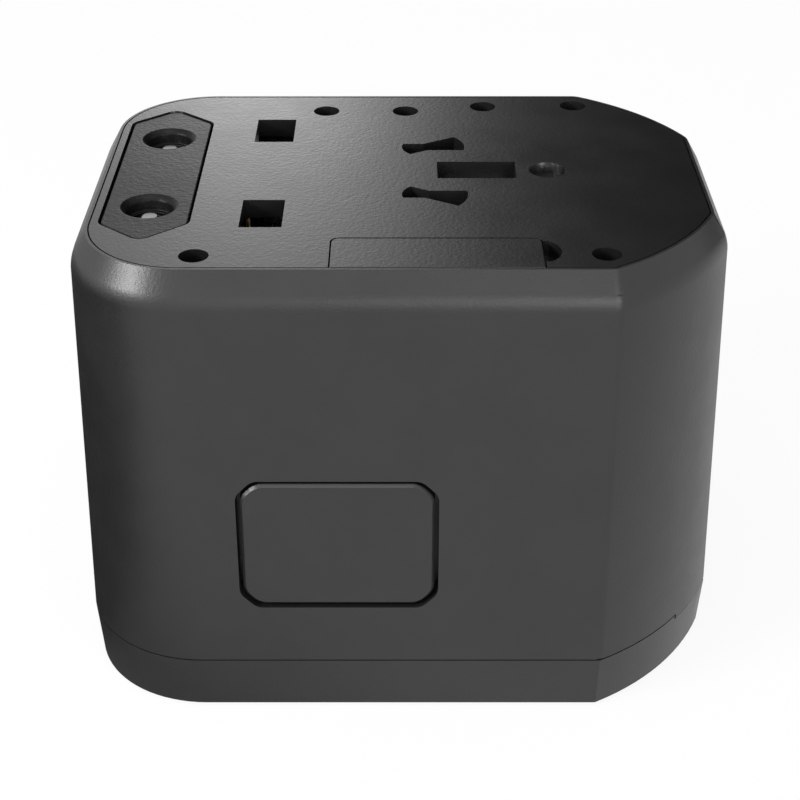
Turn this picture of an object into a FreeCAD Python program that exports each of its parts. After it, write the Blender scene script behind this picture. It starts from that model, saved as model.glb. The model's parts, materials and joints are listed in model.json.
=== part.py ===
import FreeCAD, Part
import math
import os
import re

import Sketcher

# Universal travel adapter, standing on its socket face with the pin face up.
# Origin at the centre of the socket face, +X along the body, +Y to the back, +Z up, millimetres.

SIZES = {
    # Body
    "length": 69.85,
    "width": 51.95,
    "height": 52.0,
    "draft": 0.0293,
    "shoulder_run": 1.66,
    "shoulder_drop": 2.9,
    "corner_radius": 10.4,
    "bulge_radius": 28.0,
    "bulge_inset": 25.68,
    "bulge_reach": 24.05,
    "wall": 1.9,
    "seam_height": 6.8,
    "seam_step": 0.55,
    "seam_step_x": 30.5,
    "seam_gap": 0.14,
    "foot_bevel": 0.5,
    "foot_lean": 0.07,
    "floor": 2.0,
    "lip_height": 1.0,
    "lip_wall": 1.0,
    "slip": 0.15,
    "stop_gap": 0.1,
    "cutter": 1.0,
    # Pin face plate and its ledge
    "plate": 2.0,
    "plate_rim": 0.3,
    "ledge": 1.8,
    "ledge_width": 1.3,
    "dimple_x": 15.6,
    "dimple_radius": 2.0,
    "dimple_depth": 1.2,
    # Screw wells, posts and screws
    "well_radius": 1.48,
    "well_wall": 0.6,
    "well_depth": 10.85,
    "well_web": 1.0,
    "back_well_a_x": -8.7,
    "back_well_b_x": 0.4,
    "back_well_ab_inset": 4.775,
    "back_well_c_x": 9.4,
    "back_well_c_inset": 3.375,
    "right_well_inset": 11.925,
    "right_back_well_inset": 3.075,
    "right_front_well_inset": 3.375,
    "left_well_inset_x": 11.625,
    "left_well_inset_y": 2.975,
    "post_radius": 2.2,
    "post_foot_radius": 2.9,
    "screw_radius": 0.8,
    "screw_head_radius": 1.32,
    "screw_head": 1.3,
    "screw_length": 11.0,
    "pilot_depth": 10.5,
    # Contact deck
    "deck_depth": 32.4,
    "deck": 1.6,
    "deck_left_gap": 1.95,
    "deck_back_gap": 4.35,
    "deck_ear": 3.4,
    "strip": 0.8,
    "strip_width": 5.0,
    "strip_drop": 5.2,
    "strip_gap": 0.6,
    # UK plug
    "pin_line_y": 1.0,
    "uk_line_x": -14.22,
    "uk_half_pitch": 11.115,
    "uk_earth_pitch": 22.22,
    "uk_pin_x": 4.0,
    "uk_pin_y": 6.3,
    "uk_earth_x": 8.0,
    "uk_earth_y": 4.0,
    "uk_pin_chamfer": 0.9,
    "uk_hole_gap": 0.16,
    "uk_earth_gap": 0.22,
    "uk_carriage_rise": 1.0,
    "uk_carriage": 4.5,
    "uk_bar_x": 6.0,
    "uk_front_bar_y": -13.6,
    "uk_front_bar": 3.4,
    "uk_right_bar": 3.7,
    "uk_pin_out": 17.7,
    "uk_earth_out": 22.4,
    "uk_tail": 0.6,
    "uk_tab_side": 0.35,
    "uk_back_margin": 0.7,
    "uk_ring_gap": 0.4,
    "uk_root_x": 6.0,
    "uk_root_y": 2.8,
    # US and AU plug
    "us_centre_x": 3.48,
    "us_pivot_x": 2.6,
    "us_half_pitch": 6.35,
    "us_blade_x": 6.35,
    "us_blade": 1.5,
    "us_slot_gap": 0.15,
    "us_turn": 30.0,
    "us_out": 17.0,
    "us_carriage_rise": 4.4,
    "us_carriage": 4.5,
    "us_carriage_left": -4.5,
    "us_carriage_right": 8.5,
    "us_carriage_half": 10.4,
    "us_notch_left": 3.25,
    "us_notch_half": 2.75,
    "us_shank_radius": 2.6,
    "us_flange_radius": 3.3,
    "us_flange": 0.6,
    "us_running_gap": 0.05,
    # EU plug
    "eu_inset": 5.825,
    "eu_half": 4.65,
    "eu_tip": 17.6,
    "eu_shoulder": 13.5,
    "eu_corner": 1.4,
    "eu_gap": 0.27,
    "eu_carriage_top": 11.8,
    "eu_flush": 0.1,
    "eu_block_travel": 12.0,
    "eu_pin_travel": 20.0,
    "eu_pin_radius": 2.0,
    "eu_half_pitch": 9.05,
    "eu_bore_gap": 0.1,
    "eu_mouth_radius": 2.45,
    "eu_mouth_depth": 1.6,
    "eu_mouth_chamfer": 0.5,
    "eu_ledge_gap": 0.5,
    "eu_channel_room": 0.5,
    "eu_pin_drop": 1.1,
    "eu_carriage": 4.0,
    "eu_carriage_half_x": 4.0,
    "eu_carriage_half_y": 12.6,
    "eu_lug": 1.2,
    "eu_lug_half": 10.0,
    # Side sliders
    "knob_width": 8.0,
    "knob_height": 6.3,
    "knob_gap": 0.3,
    "knob_ridge": 0.5,
    "neck": 2.6,
    "channel_drop": 1.3,
    "rail": 1.5,
    "rail_side": 1.4,
    "channel_depth": 1.9,
    "knob_recess": 0.55,
    "uk_arm_x": -14.0,
    "eu_knob_rise": 3.0,
    "uk_knob_x": -11.1,
    "us_knob_x": 4.9,
    # Fuse drawer
    "drawer_left": -7.1,
    "drawer_right": 13.9,
    "drawer_depth": 7.075,
    "drawer_gap": 0.12,
    "drawer_corner": 0.9,
    "fuse_radius": 2.5,
    "fuse_length": 20.0,
    "fuse_cap": 5.0,
    "fuse_tube_step": 0.15,
    "fuse_inset": 3.575,
    "spare_fuse_drop": 3.5,
    "fuse_pitch": 5.8,
    "saddle": 0.5,
    "saddle_width": 2.0,
    "saddle_inset": 4.6,
    "tray_back": 0.75,
    "tray_margin": 1.5,
    "saddle_reach": 1.2,
    "fuse_seat_gap": 0.02,
    "shelf_drop": 3.7,
    "shelf": 1.4,
    "shelf_reach": 3.8,
    "shelf_side": 1.2,
    "clip_leaf": 0.45,
    "clip_gap": 0.3,
    "clip_width": 2.4,
    "clip_inset": 0.2,
    "notch_length": 1.7,
    "notch_radius": 2.25,
    "notch_inset": 4.025,
    "notch_depth": 1.7,
    # Release button and latch
    "button_left": -17.0,
    "button_right": 3.8,
    "button_bottom": 13.65,
    "button_top": 29.23,
    "button_corner": 1.75,
    "button_gap": 0.42,
    "button_bevel": 0.3,
    "button_travel": 1.8,
    "flange": 1.0,
    "flange_depth": 2.95,
    "flange_margin": 0.6,
    "latch": 0.8,
    "latch_margin": 2.0,
    "tongue": 4.6,
    "tongue_height": 1.0,
    "tongue_width": 3.0,
    "latch_spring": 0.3,
    "latch_spring_rise": 1.0,
    "latch_spring_drop": 1.6,
    "latch_spring_inset": 3.5,
    "latch_spring_flat": 1.5,
    "latch_rise": 0.6,
    "seat_inset": 3.0,
    "seat_height": 5.2,
    # Socket side
    "contact": 0.6,
    "contact_bottom": 4.9,
    "contact_neck": 3.0,
    "clip_margin": 1.0,
    "earth_clip_inset": 0.6,
    "contact_grip_x": 1.85,
    "contact_grip_y": 1.9,
    "contact_open": 2.7,
    "eu_socket_half_pitch": 9.5,
    "eu_socket_radius": 2.45,
    "uk_socket_gap": 0.2,
    "blade_socket": 1.8,
    "us_ground_x": -2.33,
    "us_ground_radius": 2.6,
    "shutter": 1.6,
    "shutter_gap": 0.25,
    "shutter_edge": 4.08,
    "shutter_wing": 7.9,
    "shutter_web": 3.8,
    "shutter_half": 14.5,
    "shutter_inner": 4.6,
    "shutter_travel": 7.6,
    "shutter_guide": 6.5,
    "shutter_guide_width": 1.0,
    "shutter_guide_gap": 0.2,
    "spring_stop": 0.8,
    "spring_stop_half": 3.4,
    "spring_room": 0.9,
    "spring_leaf": 0.7,
    "spring_half": 3.6,
    "spring_folds": 4,
    # USB supply
    "board_rise": 5.2,
    "board": 1.2,
    "board_length": 18.6,
    "board_cut": 5.0,
    "board_cut_x": 2.4,
    "stand_inset_x": 1.9,
    "stand_inset_y": 2.0,
    "port_stand_inset": 5.0,
    "port_stand_y": 9.0,
    "board_half": 14.6,
    "usb_mouth_depth": 1.1,
    "usb_a_width": 13.2,
    "usb_a_height": 5.8,
    "usb_a_length": 14.0,
    "usb_c_width": 8.94,
    "usb_c_height": 3.26,
    "usb_c_length": 8.0,
    "usb_shell": 0.4,
    "usb_tongue_drop": 1.2,
    "usb_hole_gap": 0.2,
    "transformer_x": 10.0,
    "transformer_y": 6.6,
    "transformer_z": 10.0,
    "transformer_inset": 0.8,
    "winding": 0.3,
    "winding_inset": 1.0,
    "capacitor_radius": 3.15,
    "capacitor_height": 11.0,
    "capacitor_x": 4.2,
    "capacitor_gap": 0.6,
    "capacitor_inset": 0.5,
    "stand": 2.8,
}

doc = FreeCAD.newDocument("TravelAdapter")
sheet = doc.addObject("Spreadsheet::Sheet", "Sizes")
for row, (alias, value) in enumerate(SIZES.items(), start=1):
    sheet.set("A%d" % row, alias)
    sheet.set("B%d" % row, str(value))
    sheet.setAlias("B%d" % row, alias)
doc.recompute()

WORD = re.compile(r"[A-Za-z_]+")
NODES = []
NEAR = 0.01
CORNER_FLATS = 3
BULGE_FLATS = 4

# Places worked out from the sizes; an expression may name them in capitals
PLACES = {
    "HALF_FACE_X": "length / 2 - shoulder_run - draft * (height - shoulder_drop)",
    "HALF_FACE_Y": "width / 2 - shoulder_run - draft * (height - shoulder_drop)",
    "WALL_TOP": "height - shoulder_drop",
    "PLATE_BOTTOM": "height - plate",
    "LEDGE_BOTTOM": "height - plate - ledge",
    "WELL_BOTTOM": "height - well_depth",
    "RIGHT_WELL_X": "HALF_FACE_X - right_well_inset",
    "TUBE_RADIUS": "well_radius + well_wall",
    "POST_TOP": "WELL_BOTTOM - slip",
    "DECK_TOP": "height - deck_depth",
    "DECK_BOTTOM": "DECK_TOP - deck",
    "DECK_LEFT": "EU_X + eu_half + deck_left_gap",
    "DECK_BACK": "width / 2 - deck_back_gap",
    "DECK_FRONT": "2 * stop_gap + button_travel - LATCH_BACK",
    "BACK_LINE": "pin_line_y + uk_half_pitch",
    "FRONT_LINE": "pin_line_y - uk_half_pitch",
    "EARTH_X": "uk_line_x + uk_earth_pitch",
    "STRIP_TOP": "PLATE_BOTTOM - strip_drop",
    "STRIP_LEFT": "uk_line_x - uk_bar_x / 2 - strip_gap - strip",
    "EARTH_STRIP_LEFT": "EARTH_X + uk_earth_x / 2 + 2 * strip_gap",
    "UK_BASE": "DECK_TOP + uk_carriage_rise",
    "UK_TOP": "UK_BASE + uk_carriage",
    "UK_TRAVEL": "PLATE_BOTTOM - UK_TOP - stop_gap",
    "US_BASE": "DECK_TOP + us_carriage_rise",
    "US_TOP": "US_BASE + us_carriage",
    "US_TRAVEL": "PLATE_BOTTOM - US_TOP - stop_gap",
    "EU_X": "eu_inset - HALF_FACE_X",
    "EU_TOP": "height - eu_flush",
    "EU_BASE": "eu_carriage_top + eu_pin_travel + stop_gap",
    "CHANNEL_TOP": "WALL_TOP - channel_drop",
    "BACK_CHANNEL": "width / 2 - channel_depth",
    "LEFT_CHANNEL": "length / 2 - channel_depth",
    "BACK_KNOB_FACE": "width / 2 - knob_recess",
    "LEFT_KNOB_FACE": "length / 2 - knob_recess",
    "BACK_ARM_END": "BACK_CHANNEL - rail - slip",
    "LEFT_ARM_END": "LEFT_CHANNEL - rail - slip",
    "UK_KNOB_TOP": "CHANNEL_TOP - knob_gap - UK_TRAVEL",
    "US_KNOB_TOP": "CHANNEL_TOP - knob_gap - US_TRAVEL",
    "EU_KNOB_TOP": "eu_carriage_top + eu_knob_rise",
    "EU_CHANNEL_LOW": "EU_KNOB_TOP - knob_height - eu_channel_room",
    "DRAWER_BACK": "drawer_depth - HALF_FACE_Y",
    "FUSE_X": "(drawer_left + drawer_right) / 2",
    "FUSE_Y": "fuse_inset - HALF_FACE_Y",
    "SPARE_FUSE_Z": "PLATE_BOTTOM - spare_fuse_drop",
    "WORKING_FUSE_Z": "SPARE_FUSE_Z - fuse_pitch",
    "SHELF_TOP": "WORKING_FUSE_Z - shelf_drop",
    "NOTCH_Y": "notch_inset - HALF_FACE_Y",
    "FLANGE_FRONT": "width / 2 - flange_depth",
    "LATCH_BACK": "FLANGE_FRONT - flange - latch",
    "SHUTTER_LEFT": "uk_line_x - shutter_edge",
    "SPRING_END": "SHUTTER_LEFT + shutter_web + shutter_travel + spring_room",
    "USB_MOUTH": "length / 2 - usb_mouth_depth",
    "BOARD_LEFT": "USB_MOUTH - board_length",
    "BOARD_BOTTOM": "DECK_TOP + board_rise",
    "BOARD_TOP": "BOARD_BOTTOM + board",
    "USB_A_Z": "BOARD_TOP + usb_a_height / 2",
    "USB_C_Z": "BOARD_BOTTOM - usb_c_height / 2",
}
WELLS = [
    ("back_well_a_x", "HALF_FACE_Y - back_well_ab_inset"),
    ("back_well_b_x", "HALF_FACE_Y - back_well_ab_inset"),
    ("back_well_c_x", "HALF_FACE_Y - back_well_c_inset"),
    ("RIGHT_WELL_X", "HALF_FACE_Y - right_back_well_inset"),
    ("RIGHT_WELL_X", "right_front_well_inset - HALF_FACE_Y"),
    ("left_well_inset_x - HALF_FACE_X", "left_well_inset_y - HALF_FACE_Y"),
]


def bound(text):
    """The expression with every place written out and every size written as its cell on the sheet."""
    def cell(word):
        name = word.group()
        if name in PLACES:
            return "(%s)" % bound(PLACES[name])
        return "Sizes." + name if name in SIZES else name
    return WORD.sub(cell, str(text))


def num(text):
    """The present value of an expression."""
    value = sheet.evalExpression(bound(text))
    return float(getattr(value, "Value", value))


def wall_offset(level):
    """How far the drafted outer wall stands outside the pin face's outline at a height."""
    return "(shoulder_run + draft * (height - shoulder_drop - (%s)))" % level


# Profiles: lists of (u, v, radius), where radius bends the stretch that leaves that corner

def outline(offset):
    """Body outline: rounded left corners, flat right end and two bulged right corners."""
    half_x, half_y, corner, bulge, centre_x, centre_y = body_lines(offset)
    left = "(-(%s - %s))" % (half_x, corner)
    low = "(-(%s - %s))" % (half_y, corner)
    side_x = "(%s + sqrt(%s ^ 2 - (%s + %s) ^ 2))" % (centre_x, bulge, half_y, centre_y)
    end_y = "(%s - sqrt(%s ^ 2 - (%s - %s) ^ 2))" % (centre_y, bulge, half_x, centre_x)
    return [
        (left, "-" + half_y, None),
        (side_x, "-" + half_y, bulge),
        (half_x, end_y, None),
        (half_x, "-" + end_y, bulge),
        (side_x, half_y, None),
        (left, half_y, corner),
        ("-" + half_x, "-" + low, None),
        ("-" + half_x, low, corner),
    ]


def body_lines(offset):
    """Half sizes, corner radii and bulge centre of the body outline, moved outwards by the offset."""
    half_x = "(HALF_FACE_X + (%s))" % offset
    half_y = "(HALF_FACE_Y + (%s))" % offset
    corner = "(corner_radius + (%s))" % offset
    bulge = "(bulge_radius + (%s))" % offset
    return half_x, half_y, corner, bulge, "(HALF_FACE_X - bulge_inset)", "(bulge_reach - HALF_FACE_Y)"


def inner_outline(offset):
    """Body outline with its curves cut into flats, for the hidden inner walls."""
    half_x, half_y, corner, bulge, centre_x, centre_y = body_lines(offset)
    first = "asin((%s + %s) / %s)" % (half_y, centre_y, bulge)
    last = "acos((%s - %s) / %s)" % (half_x, centre_x, bulge)
    front = []
    for i in range(CORNER_FLATS + 1):
        turn = "(%d deg * %d / %d)" % (90, i, CORNER_FLATS)
        across = "(%s - %s * (1 - sin(%s)))" % (half_x, corner, turn)
        front.append(("-" + across, "(-%s + %s * (1 - cos(%s)))" % (half_y, corner, turn)))
    front.reverse()
    for i in range(BULGE_FLATS + 1):
        turn = "(%s + (%s - %s) * %d / %d)" % (first, last, first, i, BULGE_FLATS)
        along = "(%s + %s * cos(%s))" % (centre_x, bulge, turn)
        front.append((along, "(%s - %s * sin(%s))" % (centre_y, bulge, turn)))
    back = [(x, "-" + y) for x, y in reversed(front)]
    return [(x, y, None) for x, y in front + back]


def rectangle(low_u, high_u, low_v, high_v):
    return [(low_u, low_v, None), (high_u, low_v, None), (high_u, high_v, None), (low_u, high_v, None)]


def cut_corners(low_u, high_u, low_v, high_v, cut):
    """Rectangle with its four corners cut at 45 degrees."""
    values = (low_u, high_u, low_v, high_v, cut)
    low_in, high_in, low_up, high_down = (
        "((%s) + (%s))" % (values[0], cut),
        "((%s) - (%s))" % (values[1], cut),
        "((%s) + (%s))" % (values[2], cut),
        "((%s) - (%s))" % (values[3], cut),
    )
    return [
        (low_in, low_v, None),
        (high_in, low_v, None),
        (high_u, low_up, None),
        (high_u, high_down, None),
        (high_in, high_v, None),
        (low_in, high_v, None),
        (low_u, high_down, None),
        (low_u, low_up, None),
    ]


def octagon(x, y, radius):
    """Eight-sided outline round a circle."""
    low_x, high_x = "(%s) - (%s)" % (x, radius), "(%s) + (%s)" % (x, radius)
    low_y, high_y = "(%s) - (%s)" % (y, radius), "(%s) + (%s)" % (y, radius)
    return cut_corners(low_x, high_x, low_y, high_y, "((%s) * (2 - sqrt(2)))" % radius)


def pill(centre_u, centre_v, half_u, half_v):
    """Rectangle whose short ends, along u, are round, each made of two quarter arcs."""
    flat = "((%s) - (%s))" % (half_u, half_v)
    left = "((%s) - %s)" % (centre_u, flat)
    right = "((%s) + %s)" % (centre_u, flat)
    low = "((%s) - (%s))" % (centre_v, half_v)
    high = "((%s) + (%s))" % (centre_v, half_v)
    return [
        (left, low, None),
        (right, low, half_v),
        ("((%s) + (%s))" % (centre_u, half_u), centre_v, half_v),
        (right, high, None),
        (left, high, half_v),
        ("((%s) - (%s))" % (centre_u, half_u), centre_v, half_v),
    ]


def hexagon(inset):
    """Long six-sided outline of the EU block, moved inwards by the inset."""
    slope = "((eu_tip - eu_shoulder) / eu_half)"
    half = "(eu_half - (%s))" % inset
    tip = "(eu_tip - (%s) * sqrt(1 + %s ^ 2))" % (inset, slope)
    side = "(%s - %s * %s)" % (tip, slope, half)
    left = "(EU_X - %s)" % half
    right = "(EU_X + %s)" % half
    return [
        (left, "(pin_line_y - %s)" % side, None),
        ("EU_X", "(pin_line_y - %s)" % tip, None),
        (right, "(pin_line_y - %s)" % side, None),
        (right, "(pin_line_y + %s)" % side, None),
        ("EU_X", "(pin_line_y + %s)" % tip, None),
        (left, "(pin_line_y + %s)" % side, None),
    ]


def blade_sweep(side):
    """Slot that lets a blade stand straight or turned; side is +1 at the back and -1 at the front."""
    front = "(us_centre_x + us_blade_x / 2 + us_slot_gap - us_pivot_x)"
    rear = "(us_centre_x - us_blade_x / 2 - us_slot_gap - us_pivot_x)"
    half = "(us_blade / 2 + us_slot_gap)"
    cosine = "cos(us_turn * 1 deg)"
    sine = "sin(us_turn * 1 deg)"
    far = "sqrt(%s ^ 2 + %s ^ 2)" % (front, half)
    near = "sqrt(%s ^ 2 + %s ^ 2)" % (rear, half)
    kink = "(%s * tan(us_turn * 0.5 deg))" % half
    local = [
        (front, "-" + half, far),
        (
            "(%s * %s - %s * %s)" % (front, cosine, half, sine),
            "(%s * %s + %s * %s)" % (front, sine, half, cosine),
            None,
        ),
        ("-" + kink, half, None),
        (rear, half, near),
        (
            "(%s * %s + %s * %s)" % (rear, cosine, half, sine),
            "(%s * %s - %s * %s)" % (rear, sine, half, cosine),
            None,
        ),
        (kink, "-" + half, None),
    ]
    placed = [
        ("(us_pivot_x + %s)" % u, "(pin_line_y + %d * (us_half_pitch + %s))" % (side, v), r)
        for u, v, r in local
    ]
    return placed if side > 0 else reversed_profile(placed)


def reversed_profile(corners):
    """The same outline walked the other way, after a mirror has turned it round."""
    radii = [radius for u, v, radius in corners]
    points = [(u, v) for u, v, radius in corners]
    count = len(corners)
    return [points[-i] + (radii[(-i - 1) % count],) for i in range(count)]


# Sketches

def tie(sketch, kind, geometry, point, expression):
    """Hold one coordinate of a point, or one radius, to an expression on the sheet."""
    value = num(expression)
    if kind == "Radius":
        index = sketch.addConstraint(Sketcher.Constraint(kind, geometry, value))
    else:
        index = sketch.addConstraint(Sketcher.Constraint(kind, -1, 1, geometry, point, value))
    sketch.setExpression("Constraints[%d]" % index, bound(expression))


def arc_between(start, end, radius):
    """Minor arc from start to end with its centre on the left."""
    chord = end - start
    middle = (start + end) * 0.5
    left = FreeCAD.Vector(-chord.y, chord.x, 0).normalize()
    rise = math.sqrt(max(radius ** 2 - (chord.Length / 2) ** 2, 0.0))
    centre = middle + left * rise
    first = math.atan2(start.y - centre.y, start.x - centre.x)
    last = math.atan2(end.y - centre.y, end.x - centre.x)
    if last < first:
        last += 2 * math.pi
    circle = Part.Circle(centre, FreeCAD.Vector(0, 0, 1), radius)
    return Part.ArcOfCircle(circle, first, last)


def draw(sketch, corners):
    """Closed outline tied to the sheet at every corner and radius."""
    points = [FreeCAD.Vector(num(u), num(v), 0) for u, v, radius in corners]
    count = len(points)
    base = sketch.GeometryCount
    for i, (u, v, radius) in enumerate(corners):
        start, end = points[i], points[(i + 1) % count]
        piece = Part.LineSegment(start, end) if radius is None else arc_between(start, end, num(radius))
        sketch.addGeometry(piece, False)
    for i, (u, v, radius) in enumerate(corners):
        sketch.addConstraint(Sketcher.Constraint("Coincident", base + (i - 1) % count, 2, base + i, 1))
        tie(sketch, "DistanceX", base + i, 1, u)
        tie(sketch, "DistanceY", base + i, 1, v)
        if radius is not None:
            tie(sketch, "Radius", base + i, 0, radius)


def ring(sketch, u, v, radius):
    """Circle tied to the sheet."""
    centre = FreeCAD.Vector(num(u), num(v), 0)
    index = sketch.addGeometry(Part.Circle(centre, FreeCAD.Vector(0, 0, 1), num(radius)), False)
    tie(sketch, "DistanceX", index, 3, u)
    tie(sketch, "DistanceY", index, 3, v)
    tie(sketch, "Radius", index, 0, radius)


def origin_plane(owner, role):
    return [item for item in owner.Origin.OriginFeatures if item.Role == role][0]


def sketch_on(owner, name, plane, level):
    """Empty sketch on one of the body's own origin planes, lifted along that plane's normal."""
    sketch = owner.newObject("Sketcher::SketchObject", name)
    sketch.AttachmentSupport = [(origin_plane(owner, plane), "")]
    sketch.MapMode = "FlatFace"
    sketch.setExpression("AttachmentOffset.Base.z", bound(level))
    return sketch


def shapes_on(owner, name, plane, level, outlines, circles=()):
    sketch = sketch_on(owner, name, plane, level)
    for corners in outlines:
        draw(sketch, corners)
    for u, v, radius in circles:
        ring(sketch, u, v, radius)
    return sketch


# Body features

def new_body(label):
    owner = doc.addObject("PartDesign::Body", label)
    owner.Label = label
    return owner


def volume_of(owner):
    return owner.Shape.Volume if owner.Tip and not owner.Shape.isNull() else 0.0


def feature(owner, kind, name, plane, level, depth, outlines=(), circles=()):
    """Pad or Pocket of the given outlines, checked to have changed the volume the right way."""
    sketch = shapes_on(owner, name + "_sketch", plane, level, outlines, circles)
    before = volume_of(owner)
    made = owner.newObject("PartDesign::" + kind, name)
    made.Profile = sketch
    made.setExpression("Length", bound(depth))
    doc.recompute()
    change = owner.Shape.Volume - before
    if (kind == "Pad") != (change > 0) or abs(change) < 1e-6:
        raise RuntimeError("%s of %s changed the volume by %.4f" % (name, owner.Label, change))
    return made


def pad(owner, name, plane, level, depth, outlines=(), circles=()):
    return feature(owner, "Pad", name, plane, level, depth, outlines, circles)


def pocket(owner, name, plane, level, depth, outlines=(), circles=()):
    return feature(owner, "Pocket", name, plane, level, depth, outlines, circles)


def hollow_out(owner, name, stages):
    """Take a straight-walled loft out of the body, given as (height, offset) pairs of inner outlines."""
    sketches = [
        shapes_on(owner, "%s_%d" % (name, i), "XY_Plane", level, [inner_outline(offset)])
        for i, (level, offset) in enumerate(stages)
    ]
    made = owner.newObject("PartDesign::SubtractiveLoft", name)
    made.Profile = sketches[0]
    made.Sections = sketches[1:]
    made.Ruled = True
    doc.recompute()
    return made


def leaning_pad(owner, name, low, high, offset, slope, outwards=False):
    """Pad of the body outline whose walls lean inwards, or outwards, by a slope from its foot."""
    base = pad(owner, name, "XY_Plane", low, "(%s) - (%s)" % (high, low), [outline(offset)])
    below = num(low) - num("slip")
    sides = [
        "Face%d" % i
        for i, face in enumerate(base.Shape.Faces, start=1)
        if face.BoundBox.ZMin > below and face.BoundBox.ZLength > num("slip")
    ]
    foot = owner.newObject("PartDesign::Plane", name + "_foot")
    foot.AttachmentSupport = [(origin_plane(owner, "XY_Plane"), "")]
    foot.MapMode = "FlatFace"
    foot.setExpression("AttachmentOffset.Base.z", bound(low))
    lean = owner.newObject("PartDesign::Draft", name + "_draft")
    lean.Base = (base, sides)
    lean.NeutralPlane = (foot, [""])
    lean.Reversed = outwards
    lean.setExpression("Angle", bound("atan(%s)" % slope))
    doc.recompute()
    return lean


def edges_where(shape, wanted):
    """Names of the edges whose centre and direction satisfy the test."""
    names = []
    for i, edge in enumerate(shape.Edges, start=1):
        tangent = edge.tangentAt(edge.FirstParameter)
        if wanted(edge.CenterOfMass, tangent, edge):
            names.append("Edge%d" % i)
    return names


def soften(owner, name, kind, size, wanted):
    """Fillet or Chamfer on the chosen edges of the body's last feature."""
    base = owner.Tip
    names = edges_where(base.Shape, wanted)
    if not names:
        raise RuntimeError("%s of %s found no edges" % (name, owner.Label))
    made = owner.newObject("PartDesign::" + kind, name)
    made.Base = (base, names)
    made.setExpression("Radius" if kind == "Fillet" else "Size", bound(size))
    doc.recompute()
    return made


def upright(centre, tangent, edge):
    return abs(tangent.z) > 0.99


def at_height(level):
    """Test for the edges that lie level at a height."""
    height = num(level)
    return lambda centre, tangent, edge: abs(centre.z - height) < NEAR and abs(tangent.z) < NEAR


def finish(obj):
    """Take a finished sub-part into the list that is written out."""
    NODES.append(obj)
    return obj


# Plain solids

def slab(name, low_x, high_x, low_y, high_y, low_z, high_z):
    box = doc.addObject("Part::Box", name)
    box.setExpression("Length", bound("(%s) - (%s)" % (high_x, low_x)))
    box.setExpression("Width", bound("(%s) - (%s)" % (high_y, low_y)))
    box.setExpression("Height", bound("(%s) - (%s)" % (high_z, low_z)))
    for axis, place in zip("xyz", (low_x, low_y, low_z)):
        box.setExpression("Placement.Base." + axis, bound(place))
    return box


def drum(name, x, y, low_z, high_z, radius):
    cylinder = doc.addObject("Part::Cylinder", name)
    cylinder.setExpression("Radius", bound(radius))
    cylinder.setExpression("Height", bound("(%s) - (%s)" % (high_z, low_z)))
    for axis, place in zip("xyz", (x, y, low_z)):
        cylinder.setExpression("Placement.Base." + axis, bound(place))
    return cylinder


def joined(label, pieces):
    whole = doc.addObject("Part::MultiFuse", label)
    whole.Shapes = pieces
    whole.Refine = True
    whole.Label = label
    return whole


def grouped(label, pieces):
    """Like pieces that share a node but stay separate solids."""
    group = doc.addObject("Part::Compound", label)
    group.Links = pieces
    group.Label = label
    return group


# Outer shells

def drafted_face(owner, name):
    """Trim what stands outside the drafted front wall, so that a face lies flush in it."""
    low, high = "0", "WALL_TOP"
    wall_low = "(-(HALF_FACE_Y + %s))" % wall_offset(low)
    wall_high = "(-(HALF_FACE_Y + %s))" % wall_offset(high)
    outside = "(-width)"
    corners = [(outside, low, None), (wall_low, low, None), (wall_high, high, None), (outside, high, None)]
    return pocket(owner, name, "YZ_Plane", "length / 2", "length", [corners])


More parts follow.
